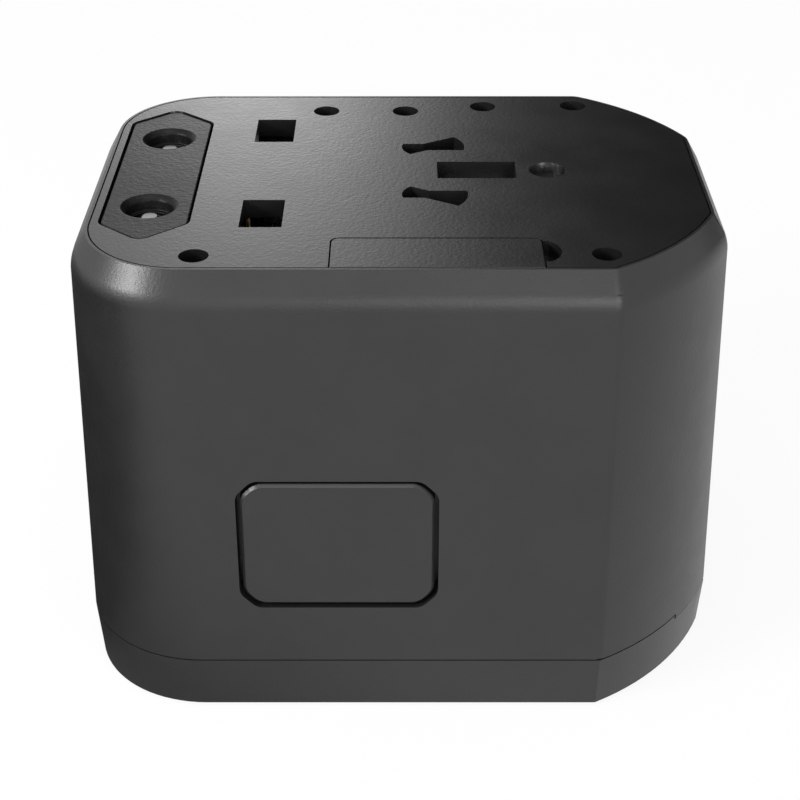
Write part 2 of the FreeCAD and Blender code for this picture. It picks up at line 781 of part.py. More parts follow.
def casing():
    shell = new_body("casing")
    start = "(seam_height - seam_step)"
    leaning_pad(shell, "outer", start, "WALL_TOP", wall_offset(start), "draft")
    leaning_pad(shell, "shoulder", "WALL_TOP", "height", "shoulder_run", "shoulder_run / shoulder_drop")
    inner_top = wall_offset("LEDGE_BOTTOM")
    inner = [(start, "%s - wall" % wall_offset(start)), ("LEDGE_BOTTOM", "%s - wall" % inner_top)]
    hollow_out(shell, "cavity", inner)
    back_rail(shell, "uk", "uk_knob_x", "UK_KNOB_TOP")
    back_rail(shell, "us", "us_knob_x", "US_KNOB_TOP")
    left_rail(shell)
    shelf_low = "(SHELF_TOP - shelf)"
    shelf_x = ("drawer_left - shelf_side", "drawer_right + shelf_side")
    shelf_front = "(-(HALF_FACE_Y + %s - wall / 2))" % wall_offset("SHELF_TOP")
    pad(
        shell,
        "fuse_shelf",
        "XY_Plane",
        shelf_low,
        "shelf",
        [rectangle(*shelf_x, shelf_front, "(FUSE_Y + shelf_reach)")],
    )
    pocket(
        shell, "ledge_opening", "XY_Plane", "height", "plate + ledge", [outline("-plate_rim - ledge_width")]
    )
    pocket(shell, "plate_seat", "XY_Plane", "height", "plate", [outline("-plate_rim")])
    wells = [octagon(x, y, "TUBE_RADIUS + 2 * slip") for x, y in WELLS]
    pocket(shell, "well_clearance", "XY_Plane", "PLATE_BOTTOM", "ledge", wells)
    drawer_cut = rectangle(
        "drawer_left - slip", "drawer_right + slip", "plate_rim - HALF_FACE_Y", "DRAWER_BACK + slip"
    )
    pocket(shell, "drawer_clearance", "XY_Plane", "PLATE_BOTTOM", "ledge", [drawer_cut])
    pocket(shell, "eu_clearance", "XY_Plane", "PLATE_BOTTOM", "ledge", [hexagon("-eu_ledge_gap")])
    button = cut_corners("button_left", "button_right", "button_bottom", "button_top", "button_corner")
    pocket(shell, "button_hole", "XZ_Plane", "width / 2 + cutter", "wall + 4 * cutter", [button])
    half_a = ("usb_a_width / 2 + usb_hole_gap", "usb_a_height / 2 + usb_hole_gap")
    mouth_a = rectangle(
        "-(%s)" % half_a[0], half_a[0], "USB_A_Z - (%s)" % half_a[1], "USB_A_Z + %s" % half_a[1]
    )
    mouth_c = pill("0", "USB_C_Z", "usb_c_width / 2 + usb_hole_gap", "usb_c_height / 2 + usb_hole_gap")
    pocket(shell, "usb_mouths", "YZ_Plane", "length / 2 + cutter", "wall + 4 * cutter", [mouth_a, mouth_c])
    step = rectangle("-length", "seam_step_x", "-width", "width")
    pocket(shell, "seam_step_cut", "XY_Plane", "seam_height", "seam_step + cutter", [step])
    return finish(shell)


def back_rail(shell, name, knob_x, knob_top):
    """Thickened guide, outside channel and slot for a slider on the back wall."""
    half = "(knob_width / 2 + knob_gap)"
    low = "(%s - %s)" % (knob_x, half)
    high = "(%s + %s)" % (knob_x, half)
    bottom = "(%s - knob_height - knob_gap)" % knob_top
    rail = rectangle(
        "%s - rail_side" % low, "%s + rail_side" % high, "%s - rail_side" % bottom, "LEDGE_BOTTOM"
    )
    pad(shell, name + "_rail", "XZ_Plane", "-BACK_CHANNEL", "rail", [rail])
    channel = rectangle(low, high, bottom, "CHANNEL_TOP")
    pocket(shell, name + "_channel", "XZ_Plane", "-BACK_CHANNEL", "wall + 3 * cutter", [channel])
    slot_half = "(neck / 2 + knob_gap)"
    slot = rectangle(
        "%s - %s" % (knob_x, slot_half), "%s + %s" % (knob_x, slot_half), bottom, "CHANNEL_TOP"
    )
    pocket(shell, name + "_slot", "XZ_Plane", "-(BACK_CHANNEL - rail - cutter)", "rail + 2 * cutter", [slot])


def left_rail(shell):
    """Thickened guide, outside channel and slot for the EU slider on the left wall."""
    half = "(knob_width / 2 + knob_gap)"
    low = "(pin_line_y - %s)" % half
    high = "(pin_line_y + %s)" % half
    rail = rectangle("%s - rail_side" % low, "%s + rail_side" % high, "EU_CHANNEL_LOW", "LEDGE_BOTTOM")
    pad(shell, "eu_rail", "YZ_Plane", "-LEFT_CHANNEL", "rail", [rail])
    channel = rectangle(low, high, "EU_CHANNEL_LOW", "CHANNEL_TOP")
    pocket(shell, "eu_channel", "YZ_Plane", "-LEFT_CHANNEL", "wall + 3 * cutter", [channel])
    slot_half = "(neck / 2 + knob_gap)"
    slot_side = ("pin_line_y - %s" % slot_half, "pin_line_y + %s" % slot_half)
    slot = rectangle(*slot_side, "EU_CHANNEL_LOW", "CHANNEL_TOP")
    pocket(shell, "eu_slot", "YZ_Plane", "-LEFT_CHANNEL + rail + cutter", "rail + 2 * cutter", [slot])


def pin_face_plate():
    plate = new_body("pin_face_plate")
    pad(plate, "sheet", "XY_Plane", "PLATE_BOTTOM", "plate", [outline("-plate_rim - slip")])
    tubes = [octagon(x, y, "TUBE_RADIUS") for x, y in WELLS]
    pad(plate, "tubes", "XY_Plane", "WELL_BOTTOM", "PLATE_BOTTOM - WELL_BOTTOM", tubes)
    wells = [(x, y, "well_radius") for x, y in WELLS]
    pocket(plate, "wells", "XY_Plane", "height", "height - WELL_BOTTOM - well_web", circles=wells)
    shanks = [(x, y, "screw_radius + slip / 2") for x, y in WELLS]
    pocket(plate, "shank_holes", "XY_Plane", "height", "height - WELL_BOTTOM", circles=shanks)
    holes = [
        uk_hole("FRONT_LINE"),
        uk_hole("BACK_LINE"),
        centred("EARTH_X", "pin_line_y", "uk_earth_x / 2 + uk_earth_gap", "uk_earth_y / 2 + uk_earth_gap"),
        blade_sweep(1),
        blade_sweep(-1),
        hexagon("0"),
        rectangle("drawer_left", "drawer_right", "-width / 2", "DRAWER_BACK"),
    ]
    pocket(plate, "pin_holes", "XY_Plane", "height", "plate", holes)
    soften(plate, "hex_corners", "Fillet", "eu_corner", hex_edge)
    soften(plate, "drawer_corners", "Fillet", "drawer_corner", drawer_edge)
    pocket(
        plate,
        "dimple",
        "XY_Plane",
        "height",
        "dimple_depth",
        circles=[("dimple_x", "pin_line_y", "dimple_radius")],
    )
    notch = [
        ("drawer_right", "NOTCH_Y - notch_radius", None),
        (
            "(drawer_right + notch_length - notch_radius / 2)",
            "NOTCH_Y - notch_radius",
            "notch_radius * 1.25",
        ),
        ("(drawer_right + notch_length - notch_radius / 2)", "NOTCH_Y + notch_radius", None),
        ("drawer_right", "NOTCH_Y + notch_radius", None),
    ]
    pocket(plate, "finger_notch", "XY_Plane", "height", "notch_depth", [notch])
    return finish(plate)


def centred(x, y, half_x, half_y):
    low_x, high_x = "(%s) - (%s)" % (x, half_x), "(%s) + (%s)" % (x, half_x)
    low_y, high_y = "(%s) - (%s)" % (y, half_y), "(%s) + (%s)" % (y, half_y)
    return rectangle(low_x, high_x, low_y, high_y)


def uk_hole(line):
    return centred("uk_line_x", line, "uk_pin_x / 2 + uk_hole_gap", "uk_pin_y / 2 + uk_hole_gap")


def hex_edge(centre, tangent, edge):
    near = num("EU_X - eu_half") - 0.1 < centre.x < num("EU_X + eu_half") + 0.1
    inside = abs(centre.y - num("pin_line_y")) < num("eu_tip") + 0.1
    return upright(centre, tangent, edge) and near and inside and centre.z > num("EU_BASE")


def drawer_edge(centre, tangent, edge):
    at_back = abs(centre.y - num("DRAWER_BACK")) < 0.05
    at_side = min(abs(centre.x - num("drawer_left")), abs(centre.x - num("drawer_right"))) < 0.05
    return upright(centre, tangent, edge) and at_back and at_side


def base_cap():
    cap = new_body("base_cap")
    rim = "(seam_height - seam_gap)"
    foot = "(%s - foot_lean * %s)" % (wall_offset(rim), rim)
    leaning_pad(cap, "outer", "0", rim, foot, "foot_lean", outwards=True)
    soften(cap, "foot", "Chamfer", "foot_bevel", at_height("0"))
    step = rectangle("seam_step_x - seam_gap", "length", "-width", "width")
    pocket(cap, "seam_step_cut", "XY_Plane", rim, "seam_step", [step])
    lip = "%s - wall - slip" % wall_offset("seam_height")
    lip_top = "(seam_height + lip_height)"
    pad(cap, "lip", "XY_Plane", "floor", lip_top + " - floor", [inner_outline(lip)])
    inside = inner_outline("%s - lip_wall" % lip)
    pocket(cap, "hollow", "XY_Plane", lip_top, lip_top + " - floor", [inside])
    posts = [octagon(x, y, "post_radius") for x, y in WELLS]
    pad(cap, "posts", "XY_Plane", "floor", "POST_TOP - floor", posts)
    over_shutter = "(floor + 2 * shutter_gap + shutter)"
    shoulders = [octagon(x, y, "post_foot_radius") for x, y in WELLS[:5]]
    pad(cap, "post_shoulders", "XY_Plane", over_shutter, "DECK_BOTTOM - " + over_shutter, shoulders)
    pilots = [(x, y, "screw_radius + slip / 2") for x, y in WELLS]
    pocket(cap, "pilots", "XY_Plane", "POST_TOP", "pilot_depth", circles=pilots)
    for side, name in ((1, "back"), (-1, "front")):
        socket_pole(cap, side, name)
    earth = centred(
        "EARTH_X", "pin_line_y", "uk_earth_x / 2 + uk_socket_gap", "uk_earth_y / 2 + uk_socket_gap"
    )
    ground = [("us_ground_x", "pin_line_y", "us_ground_radius")]
    pocket(cap, "earth_socket", "XY_Plane", "floor", "floor", [earth], ground)
    stop_side = ("pin_line_y - spring_stop_half", "pin_line_y + spring_stop_half")
    stop = rectangle("SPRING_END + slip", "SPRING_END + slip + spring_stop", *stop_side)
    rails = [shutter_rail(1), shutter_rail(-1), stop]
    pad(cap, "shutter_rails", "XY_Plane", "floor", "shutter_gap + shutter / 2", rails)
    return finish(cap)


def shutter_rail(side):
    """Low guide beside one end of the shutter."""
    middle = "(pin_line_y + %d * (shutter_half + shutter_guide_gap + shutter_guide_width / 2))" % side
    low = "%s - shutter_guide_width / 2" % middle
    return rectangle("SHUTTER_LEFT", "SHUTTER_LEFT + shutter_guide", low, low + " + shutter_guide_width")


def socket_pole(cap, side, name):
    """Joined opening for a UK pin, a round EU pin and a straight or slanted blade."""
    line = "(pin_line_y + %d * uk_half_pitch)" % side
    uk = centred("uk_line_x", line, "uk_pin_x / 2 + uk_socket_gap", "uk_pin_y / 2 + uk_socket_gap")
    pocket(cap, name + "_uk_socket", "XY_Plane", "floor", "floor", [uk])
    eu = [("uk_line_x", "pin_line_y + %d * eu_socket_half_pitch" % side, "eu_socket_radius")]
    pocket(cap, name + "_eu_socket", "XY_Plane", "floor", "floor", circles=eu)
    blade_line = "pin_line_y + %d * us_half_pitch" % side
    us = centred("uk_line_x", blade_line, "us_blade_x / 2 + us_slot_gap", "blade_socket / 2")
    pocket(cap, name + "_us_socket", "XY_Plane", "floor", "floor", [us])
    pocket(cap, name + "_au_socket", "XY_Plane", "floor", "floor", [slanted(side, blade_line)])


def slanted(side, line):
    """Blade slot turned by the blade angle about its own centre."""
    half_x = "(us_blade_x / 2 + us_slot_gap)"
    half_y = "(blade_socket / 2)"
    cosine = "cos(us_turn * 1 deg)"
    sine = "(%d * sin(us_turn * 1 deg))" % side
    corners = []
    for sign_x, sign_y in ((-1, -1), (1, -1), (1, 1), (-1, 1)):
        along = "(%d * %s)" % (sign_x, half_x)
        across = "(%d * %s)" % (sign_y, half_y)
        u = "(uk_line_x + %s * %s - %s * %s)" % (along, cosine, across, sine)
        v = "(%s + %s * %s + %s * %s)" % (line, along, sine, across, cosine)
        corners.append((u, v, None))
    return corners


def case_screws():
    """Six long case screws, one solid each, their heads at the bottom of the wells."""
    screws = []
    seat = "(WELL_BOTTOM + well_web)"
    for i, (x, y) in enumerate(WELLS):
        shank = drum("screw_shank_%d" % i, x, y, "%s - screw_length" % seat, seat, "screw_radius")
        head = drum("screw_head_%d" % i, x, y, seat, "%s + screw_head" % seat, "screw_head_radius")
        screws.append(joined("screw_%d" % i, [shank, head]))
    return finish(grouped("case_screws", screws))


def cut(label, base, tools):
    """The base with one or more tools taken out of it."""
    tool = tools[0] if len(tools) == 1 else joined(label + "_tool", tools)
    made = doc.addObject("Part::Cut", label)
    made.Base = base
    made.Tool = tool
    made.Label = label
    return made


# Contact deck and the mains metalwork

def contact_deck():
    deck = new_body("contact_deck")
    half = "(HALF_FACE_X + %s - wall - 4 * slip)" % wall_offset("DECK_TOP")
    turn_y = "(pin_line_y + knob_width)"
    edge_x = "(RIGHT_WELL_X + deck_ear)"
    plan = [
        ("DECK_LEFT", "DECK_FRONT", None),
        (edge_x, "DECK_FRONT", None),
        (half, "-" + turn_y, None),
        (half, turn_y, None),
        (edge_x, "DECK_BACK", None),
        ("DECK_LEFT", "DECK_BACK", None),
    ]
    pad(deck, "sheet", "XY_Plane", "DECK_BOTTOM", "deck", [plan])
    ear = octagon(*WELLS[4], "post_foot_radius")
    pad(deck, "ear", "XY_Plane", "DECK_BOTTOM", "deck", [ear])
    holes = [octagon(x, y, "post_radius + slip") for x, y in WELLS]
    slots = [strip_slot(1), strip_slot(-1), earth_slot()]
    pocket(deck, "openings", "XY_Plane", "DECK_TOP", "deck", slots + holes)
    stands = []
    for sign in ("", "-"):
        stands.append(
            octagon("BOARD_LEFT + stand_inset_x", "%s(board_half - stand_inset_y)" % sign, "stand / 2")
        )
        stands.append(octagon("USB_MOUTH - port_stand_inset", "%s(port_stand_y)" % sign, "stand / 2"))
    pad(deck, "board_stands", "XY_Plane", "DECK_TOP", "BOARD_BOTTOM - DECK_TOP", stands)
    seat = rectangle(
        "button_left + seat_inset", "button_right - seat_inset", "DECK_FRONT", "DECK_FRONT + deck / 2"
    )
    pad(deck, "spring_seat", "XY_Plane", "DECK_TOP", "seat_height", [seat])
    return finish(deck)


def strip_slot(side):
    line = "(pin_line_y + %d * uk_half_pitch)" % side
    return centred("STRIP_LEFT + strip / 2", line, "strip / 2 + slip", "strip_width / 2 + slip")


def earth_slot():
    return centred(
        "EARTH_STRIP_LEFT + strip / 2", "pin_line_y", "strip / 2 + slip", "strip_width / 2 + slip"
    )


def bus_strip(label, side):
    """Upright brass strip beside a pin's path, with a foot under the deck."""
    strip = new_body(label)
    if side:
        far = "(uk_line_x + uk_bar_x / 2)"
        line = "(pin_line_y + %d * uk_half_pitch)" % side
        profile = [
            ("STRIP_LEFT", "DECK_BOTTOM - strip", None),
            (far, "DECK_BOTTOM - strip", None),
            (far, "DECK_BOTTOM", None),
            ("STRIP_LEFT + strip", "DECK_BOTTOM", None),
            ("STRIP_LEFT + strip", "STRIP_TOP", None),
            ("STRIP_LEFT", "STRIP_TOP", None),
        ]
    else:
        near = "(EARTH_X - uk_earth_x / 2)"
        line = "pin_line_y"
        profile = [
            (near, "DECK_BOTTOM - strip", None),
            ("EARTH_STRIP_LEFT + strip", "DECK_BOTTOM - strip", None),
            ("EARTH_STRIP_LEFT + strip", "STRIP_TOP", None),
            ("EARTH_STRIP_LEFT", "STRIP_TOP", None),
            ("EARTH_STRIP_LEFT", "DECK_BOTTOM", None),
            (near, "DECK_BOTTOM", None),
        ]
    pad(strip, "bent_strip", "XZ_Plane", "-(%s + strip_width / 2)" % line, "strip_width", [profile])
    return finish(strip)


def fork(grip):
    """Half profiles of a contact fork that opens downwards: (distance from the middle, height)."""
    top = "(DECK_BOTTOM - strip)"
    outer = [
        ("contact_open", top),
        ("contact_open", "(%s - contact)" % top),
        ("(%s + contact)" % grip, "(contact_bottom + contact_neck)"),
        ("(contact_open)", "contact_bottom"),
    ]
    inner = [
        ("(contact_open - contact)", "contact_bottom"),
        (grip, "(contact_bottom + contact_neck)"),
        ("(contact_open - contact)", "(%s - 2 * contact)" % top),
        ("(contact_open - contact)", "(%s - contact)" % top),
    ]
    return outer, inner


def fork_profile(middle, grip):
    outer, inner = fork(grip)
    right = [("(%s + %s)" % (middle, u), v, None) for u, v in outer + inner]
    left = [("(%s - %s)" % (middle, u), v, None) for u, v in reversed(outer + inner)]
    return right + left


def socket_clip(label, side):
    """Sprung brass fork that grips the plug pins of one pole."""
    clip = new_body(label)
    width = "(uk_half_pitch + uk_pin_y / 2 - us_half_pitch + clip_margin)"
    if side > 0:
        level = "-(pin_line_y + uk_half_pitch + uk_pin_y / 2)"
    else:
        level = "-(pin_line_y - us_half_pitch + clip_margin)"
    pad(clip, "fork", "XZ_Plane", level, width, [fork_profile("uk_line_x", "contact_grip_x")])
    return finish(clip)


def earth_clip():
    clip = new_body("earth_socket_clip")
    start = "(us_ground_x - us_ground_radius + earth_clip_inset)"
    profile = fork_profile("pin_line_y", "contact_grip_y")
    pad(clip, "fork", "YZ_Plane", start, "EARTH_X + uk_earth_x / 2 - %s" % start, [profile])
    return finish(clip)


def socket_shutter():
    """Sliding plate that closes both poles until a plug pushes it aside."""
    shutter = new_body("socket_shutter")
    base = "(floor + shutter_gap)"
    right = "(SHUTTER_LEFT + shutter_wing)"
    web = "(SHUTTER_LEFT + shutter_web)"
    plan = [
        ("SHUTTER_LEFT", "(pin_line_y - shutter_half)", None),
        (right, "(pin_line_y - shutter_half)", None),
        (right, "(pin_line_y - shutter_inner)", None),
        (web, "(pin_line_y - shutter_inner)", None),
        (web, "(pin_line_y + shutter_inner)", None),
        (right, "(pin_line_y + shutter_inner)", None),
        (right, "(pin_line_y + shutter_half)", None),
        ("SHUTTER_LEFT", "(pin_line_y + shutter_half)", None),
    ]
    pad(shutter, "sheet", "XY_Plane", base, "shutter", [plan])
    return finish(shutter)


def shutter_spring():
    """Flat folded spring between the shutter's web and its stop, its folds made by a loop."""
    spring = new_body("shutter_spring")
    start = "(SHUTTER_LEFT + shutter_web)"
    reach = "((SPRING_END + slip) - %s)" % start
    upper, lower = [], []
    for i in range(int(SIZES["spring_folds"]) + 1):
        x = "(%s + %s * %d / spring_folds)" % (start, reach, i)
        y = "(pin_line_y + %d * spring_half" % (1 if i % 2 else -1)
        upper.append((x, y + " + spring_leaf)", None))
        lower.append((x, y + " - spring_leaf)", None))
    corners = lower + list(reversed(upper))
    pad(spring, "leaf", "XY_Plane", "(floor + shutter_gap)", "shutter", [corners])
    return finish(spring)


# Sliding pin carriages

def uk_carriage():
    """C-shaped carriage that carries the three UK pins round the US carriage."""
    carriage = new_body("uk_carriage")
    left = "(uk_line_x - uk_bar_x / 2)"
    inner_left = "(uk_line_x + uk_bar_x / 2)"
    front_in = "(uk_front_bar_y + uk_front_bar)"
    right_in = "(us_carriage_right + uk_ring_gap)"
    right_out = "(%s + uk_right_bar)" % right_in
    tab_half = "(uk_earth_y / 2 + uk_tab_side)"
    tab_left = "(EARTH_X - uk_earth_x / 2 - uk_tab_side / 2)"
    back = "(BACK_LINE + uk_pin_y / 2 + uk_back_margin)"
    plan = [
        (left, "uk_front_bar_y", None),
        (right_out, "uk_front_bar_y", None),
        (right_out, "(pin_line_y + %s)" % tab_half, None),
        (tab_left, "(pin_line_y + %s)" % tab_half, None),
        (tab_left, "(pin_line_y - %s)" % tab_half, None),
        (right_in, "(pin_line_y - %s)" % tab_half, None),
        (right_in, front_in, None),
        (inner_left, front_in, None),
        (inner_left, back, None),
        (left, back, None),
    ]
    pad(carriage, "frame", "XY_Plane", "UK_BASE", "uk_carriage", [plan])
    arm_left, knob_right = "(uk_arm_x - neck / 2)", "(uk_knob_x + neck / 2)"
    hook = "(BACK_ARM_END - neck / 2)"
    arm = [
        (arm_left, "(%s - slip)" % back, None),
        ("(uk_arm_x + neck / 2)", "(%s - slip)" % back, None),
        ("(uk_arm_x + neck / 2)", hook, None),
        (knob_right, hook, None),
        (knob_right, "BACK_ARM_END", None),
        (arm_left, "BACK_ARM_END", None),
    ]
    pad(carriage, "arm", "XY_Plane", "UK_BASE", "UK_KNOB_TOP - UK_BASE", [arm])
    roots = [
        centred("uk_line_x", "FRONT_LINE", "uk_pin_x / 2", "uk_pin_y / 2"),
        centred("uk_line_x", "BACK_LINE", "uk_pin_x / 2", "uk_pin_y / 2"),
        centred("EARTH_X", "pin_line_y", "uk_root_x / 2", "uk_root_y / 2"),
    ]
    pocket(carriage, "pin_seats", "XY_Plane", "UK_TOP", "uk_carriage", roots)
    return finish(carriage)


def uk_pin(label, line):
    pin = new_body(label)
    low = "(UK_BASE - uk_tail)"
    tip = "(height + uk_pin_out - UK_TRAVEL)"
    outline_ = centred("uk_line_x", line, "uk_pin_x / 2", "uk_pin_y / 2")
    pad(pin, "bar", "XY_Plane", low, "%s - %s" % (tip, low), [outline_])
    soften(pin, "tip", "Chamfer", "uk_pin_chamfer", at_height(tip))
    return finish(pin)


def uk_earth_pin():
    pin = new_body("uk_earth_pin")
    tip = "(height + uk_earth_out - UK_TRAVEL)"
    bar = centred("EARTH_X", "pin_line_y", "uk_earth_x / 2", "uk_earth_y / 2")
    pad(pin, "bar", "XY_Plane", "UK_TOP", "%s - UK_TOP" % tip, [bar])
    root = centred("EARTH_X", "pin_line_y", "uk_root_x / 2", "uk_root_y / 2")
    low = "(UK_BASE - uk_tail)"
    pad(pin, "root", "XY_Plane", low, "UK_TOP - %s" % low, [root])
    soften(pin, "tip", "Chamfer", "uk_pin_chamfer", at_height(tip))
    return finish(pin)


def us_carriage():
    """Carriage with two round seats for the blades and a notch for the UK earth pin."""
    carriage = new_body("us_carriage")
    low = "(pin_line_y - us_carriage_half)"
    high = "(pin_line_y + us_carriage_half)"
    plan = [
        ("us_carriage_left", low, None),
        ("us_carriage_right", low, None),
        ("us_carriage_right", "(pin_line_y - us_notch_half)", None),
        ("us_notch_left", "(pin_line_y - us_notch_half)", None),
        ("us_notch_left", "(pin_line_y + us_notch_half)", None),
        ("us_carriage_right", "(pin_line_y + us_notch_half)", None),
        ("us_carriage_right", high, None),
        ("us_carriage_left", high, None),
    ]
    pad(carriage, "frame", "XY_Plane", "US_BASE", "us_carriage", [plan])
    arm = rectangle("us_knob_x - neck / 2", "us_knob_x + neck / 2", "%s - slip" % high, "BACK_ARM_END")
    pad(carriage, "arm", "XY_Plane", "US_BASE", "US_KNOB_TOP - US_BASE", [arm])
    lines = ["pin_line_y + %d * us_half_pitch" % side for side in (1, -1)]
    seats = [("us_pivot_x", line, "us_shank_radius + us_running_gap") for line in lines]
    pocket(carriage, "blade_seats", "XY_Plane", "US_TOP", "us_carriage", circles=seats)
    return finish(carriage)


def us_blade(label, side):
    """Flat blade on a round shank, turned for Australian outlets."""
    blade = new_body(label)
    line = "(pin_line_y + %d * us_half_pitch)" % side
    shank_low = "(US_BASE - us_running_gap)"
    blade_low = "(US_TOP + us_running_gap)"
    tip = "(height + us_out - US_TRAVEL)"
    flange = [("us_pivot_x", line, "us_flange_radius")]
    pad(blade, "flange", "XY_Plane", shank_low + " - us_flange", "us_flange", circles=flange)
    shank = [("us_pivot_x", line, "us_shank_radius")]
    pad(blade, "shank", "XY_Plane", shank_low, "%s - %s" % (blade_low, shank_low), circles=shank)
    bar = centred("us_centre_x", line, "us_blade_x / 2", "us_blade / 2")
    pad(blade, "bar", "XY_Plane", blade_low, "%s - %s" % (tip, blade_low), [bar])
    soften(blade, "tip", "Chamfer", "us_blade / 4", at_height(tip))
    return finish(blade)


def back_knob(label, knob_x, knob_top, arm_base):
    """Ridged slider on the back wall, with a neck that passes through the slot to its arm."""
    knob = new_body(label)
    low = "(%s - knob_height)" % knob_top
    inner = "(BACK_CHANNEL + slip)"
    face = rectangle("%s - knob_width / 2" % knob_x, "%s + knob_width / 2" % knob_x, low, knob_top)
    pad(knob, "face", "XZ_Plane", "-BACK_KNOB_FACE", "BACK_KNOB_FACE - %s" % inner, [face])
    neck = rectangle("%s - neck / 2" % knob_x, "%s + neck / 2" % knob_x, arm_base, knob_top)
    pad(knob, "neck", "XZ_Plane", "-%s" % inner, "%s - BACK_ARM_END" % inner, [neck])
    grooves = knob_grooves(knob_x, knob_top)
    pocket(knob, "ridges", "XZ_Plane", "-(BACK_KNOB_FACE - knob_ridge)", "knob_ridge + cutter", grooves)
    return finish(knob)


def knob_grooves(middle, top):
    """Three finger grooves across a slider's face."""
    left = "%s - knob_width / 2 - cutter" % middle
    right = "%s + knob_width / 2 + cutter" % middle
    grooves = []
    for i in range(3):
        low = "%s - knob_height / 7 * %d" % (top, 2 * i + 2)
        high = "%s - knob_height / 7 * %d" % (top, 2 * i + 1)
        grooves.append(rectangle(left, right, low, high))
    return grooves


# EU plug

def eu_block():
    """Six-sided block that fills its recess and rises out of the pin face."""
    block = new_body("eu_block")
    pad(block, "prism", "XY_Plane", "EU_BASE", "EU_TOP - EU_BASE", [hexagon("eu_gap")])
    soften(block, "corners", "Fillet", "eu_corner - eu_gap", upright)
    lug_top = "(PLATE_BOTTOM - eu_block_travel - stop_gap)"
    right = "(EU_X + eu_half - eu_gap)"
    lug = rectangle("EU_X", "%s + eu_lug" % right, "pin_line_y - eu_lug_half", "pin_line_y + eu_lug_half")
    pad(block, "stop_lug", "XY_Plane", "EU_BASE", "%s - EU_BASE" % lug_top, [lug])
    lines = ["pin_line_y + %d * eu_half_pitch" % side for side in (1, -1)]
    bores = [("EU_X", line, "eu_pin_radius + eu_bore_gap") for line in lines]
    pocket(block, "bores", "XY_Plane", "EU_TOP", "EU_TOP - EU_BASE", circles=bores)
    mouths = [("EU_X", line, "eu_mouth_radius") for line in lines]
    pocket(block, "mouths", "XY_Plane", "EU_TOP", "eu_mouth_depth", circles=mouths)
    level, round_mouth = num("EU_TOP"), num("2 * pi * eu_mouth_radius")

    def mouth_edge(centre, tangent, edge):
        return abs(centre.z - level) < NEAR and abs(edge.Length - round_mouth) < NEAR

    soften(block, "mouth_bevels", "Chamfer", "eu_mouth_chamfer", mouth_edge)
    return finish(block)


def eu_pin_carriage():
    carriage = new_body("eu_pin_carriage")
    low = "(eu_carriage_top - eu_carriage)"
    plan = [
        ("(EU_X - eu_carriage_half_x)", "(pin_line_y - eu_carriage_half_y)", None),
        ("(EU_X + eu_carriage_half_x)", "(pin_line_y - eu_carriage_half_y)", None),
        ("(EU_X + eu_carriage_half_x)", "(pin_line_y + eu_carriage_half_y)", None),
        ("(EU_X - eu_carriage_half_x)", "(pin_line_y + eu_carriage_half_y)", None),
        ("(EU_X - eu_carriage_half_x)", "(pin_line_y + neck / 2)", None),
        ("-LEFT_ARM_END", "(pin_line_y + neck / 2)", None),
        ("-LEFT_ARM_END", "(pin_line_y - neck / 2)", None),
        ("(EU_X - eu_carriage_half_x)", "(pin_line_y - neck / 2)", None),
    ]
    pad(carriage, "bar", "XY_Plane", low, "eu_carriage", [plan])
    seats = [("EU_X", "pin_line_y + %d * eu_half_pitch" % side, "eu_pin_radius") for side in (1, -1)]
    pocket(carriage, "pin_seats", "XY_Plane", "eu_carriage_top", "eu_carriage - uk_tail", circles=seats)
    return finish(carriage)


def eu_pin(label, side):
    """Round pin with a domed tip, turned about its own axis."""
    pin = new_body(label)
    low = "(eu_carriage_top - eu_carriage + uk_tail)"
    tip = "(height - eu_flush - eu_pin_drop)"
    profile = [
        ("0", low, None),
        ("eu_pin_radius", low, None),
        ("eu_pin_radius", "(%s - eu_pin_radius * 0.75)" % tip, None),
        ("(eu_pin_radius * 0.8)", "(%s - eu_pin_radius * 0.3)" % tip, None),
        ("(eu_pin_radius * 0.4)", tip, None),
        ("0", tip, None),
    ]
    sketch = shapes_on(pin, label + "_half", "XZ_Plane", "0", [profile])
    turned = pin.newObject("PartDesign::Revolution", label + "_turned")
    turned.Profile = sketch
    turned.ReferenceAxis = (sketch, ["V_Axis"])
    turned.Angle = 360
    pin.setExpression("Placement.Base.x", bound("EU_X"))
    pin.setExpression("Placement.Base.y", bound("pin_line_y + %d * eu_half_pitch" % side))
    doc.recompute()
    return finish(pin)


def eu_slider_knob():
    knob = new_body("eu_slider_knob")
    low = "(EU_KNOB_TOP - knob_height)"
    inner = "(LEFT_CHANNEL + slip)"
    face = rectangle("pin_line_y - knob_width / 2", "pin_line_y + knob_width / 2", low, "EU_KNOB_TOP")
    pad(knob, "face", "YZ_Plane", "-LEFT_KNOB_FACE", "LEFT_KNOB_FACE - %s" % inner, [face])
    neck_low = "max(eu_carriage_top - eu_carriage; %s)" % low
    neck = rectangle("pin_line_y - neck / 2", "pin_line_y + neck / 2", neck_low, "eu_carriage_top")
    pad(knob, "neck", "YZ_Plane", "-%s" % inner, "%s - LEFT_ARM_END" % inner, [neck])
    grooves = knob_grooves("pin_line_y", "EU_KNOB_TOP")
    pocket(knob, "ridges", "YZ_Plane", "-(LEFT_KNOB_FACE - knob_ridge)", "knob_ridge + cutter", grooves)
    return finish(knob)


# Fuse drawer

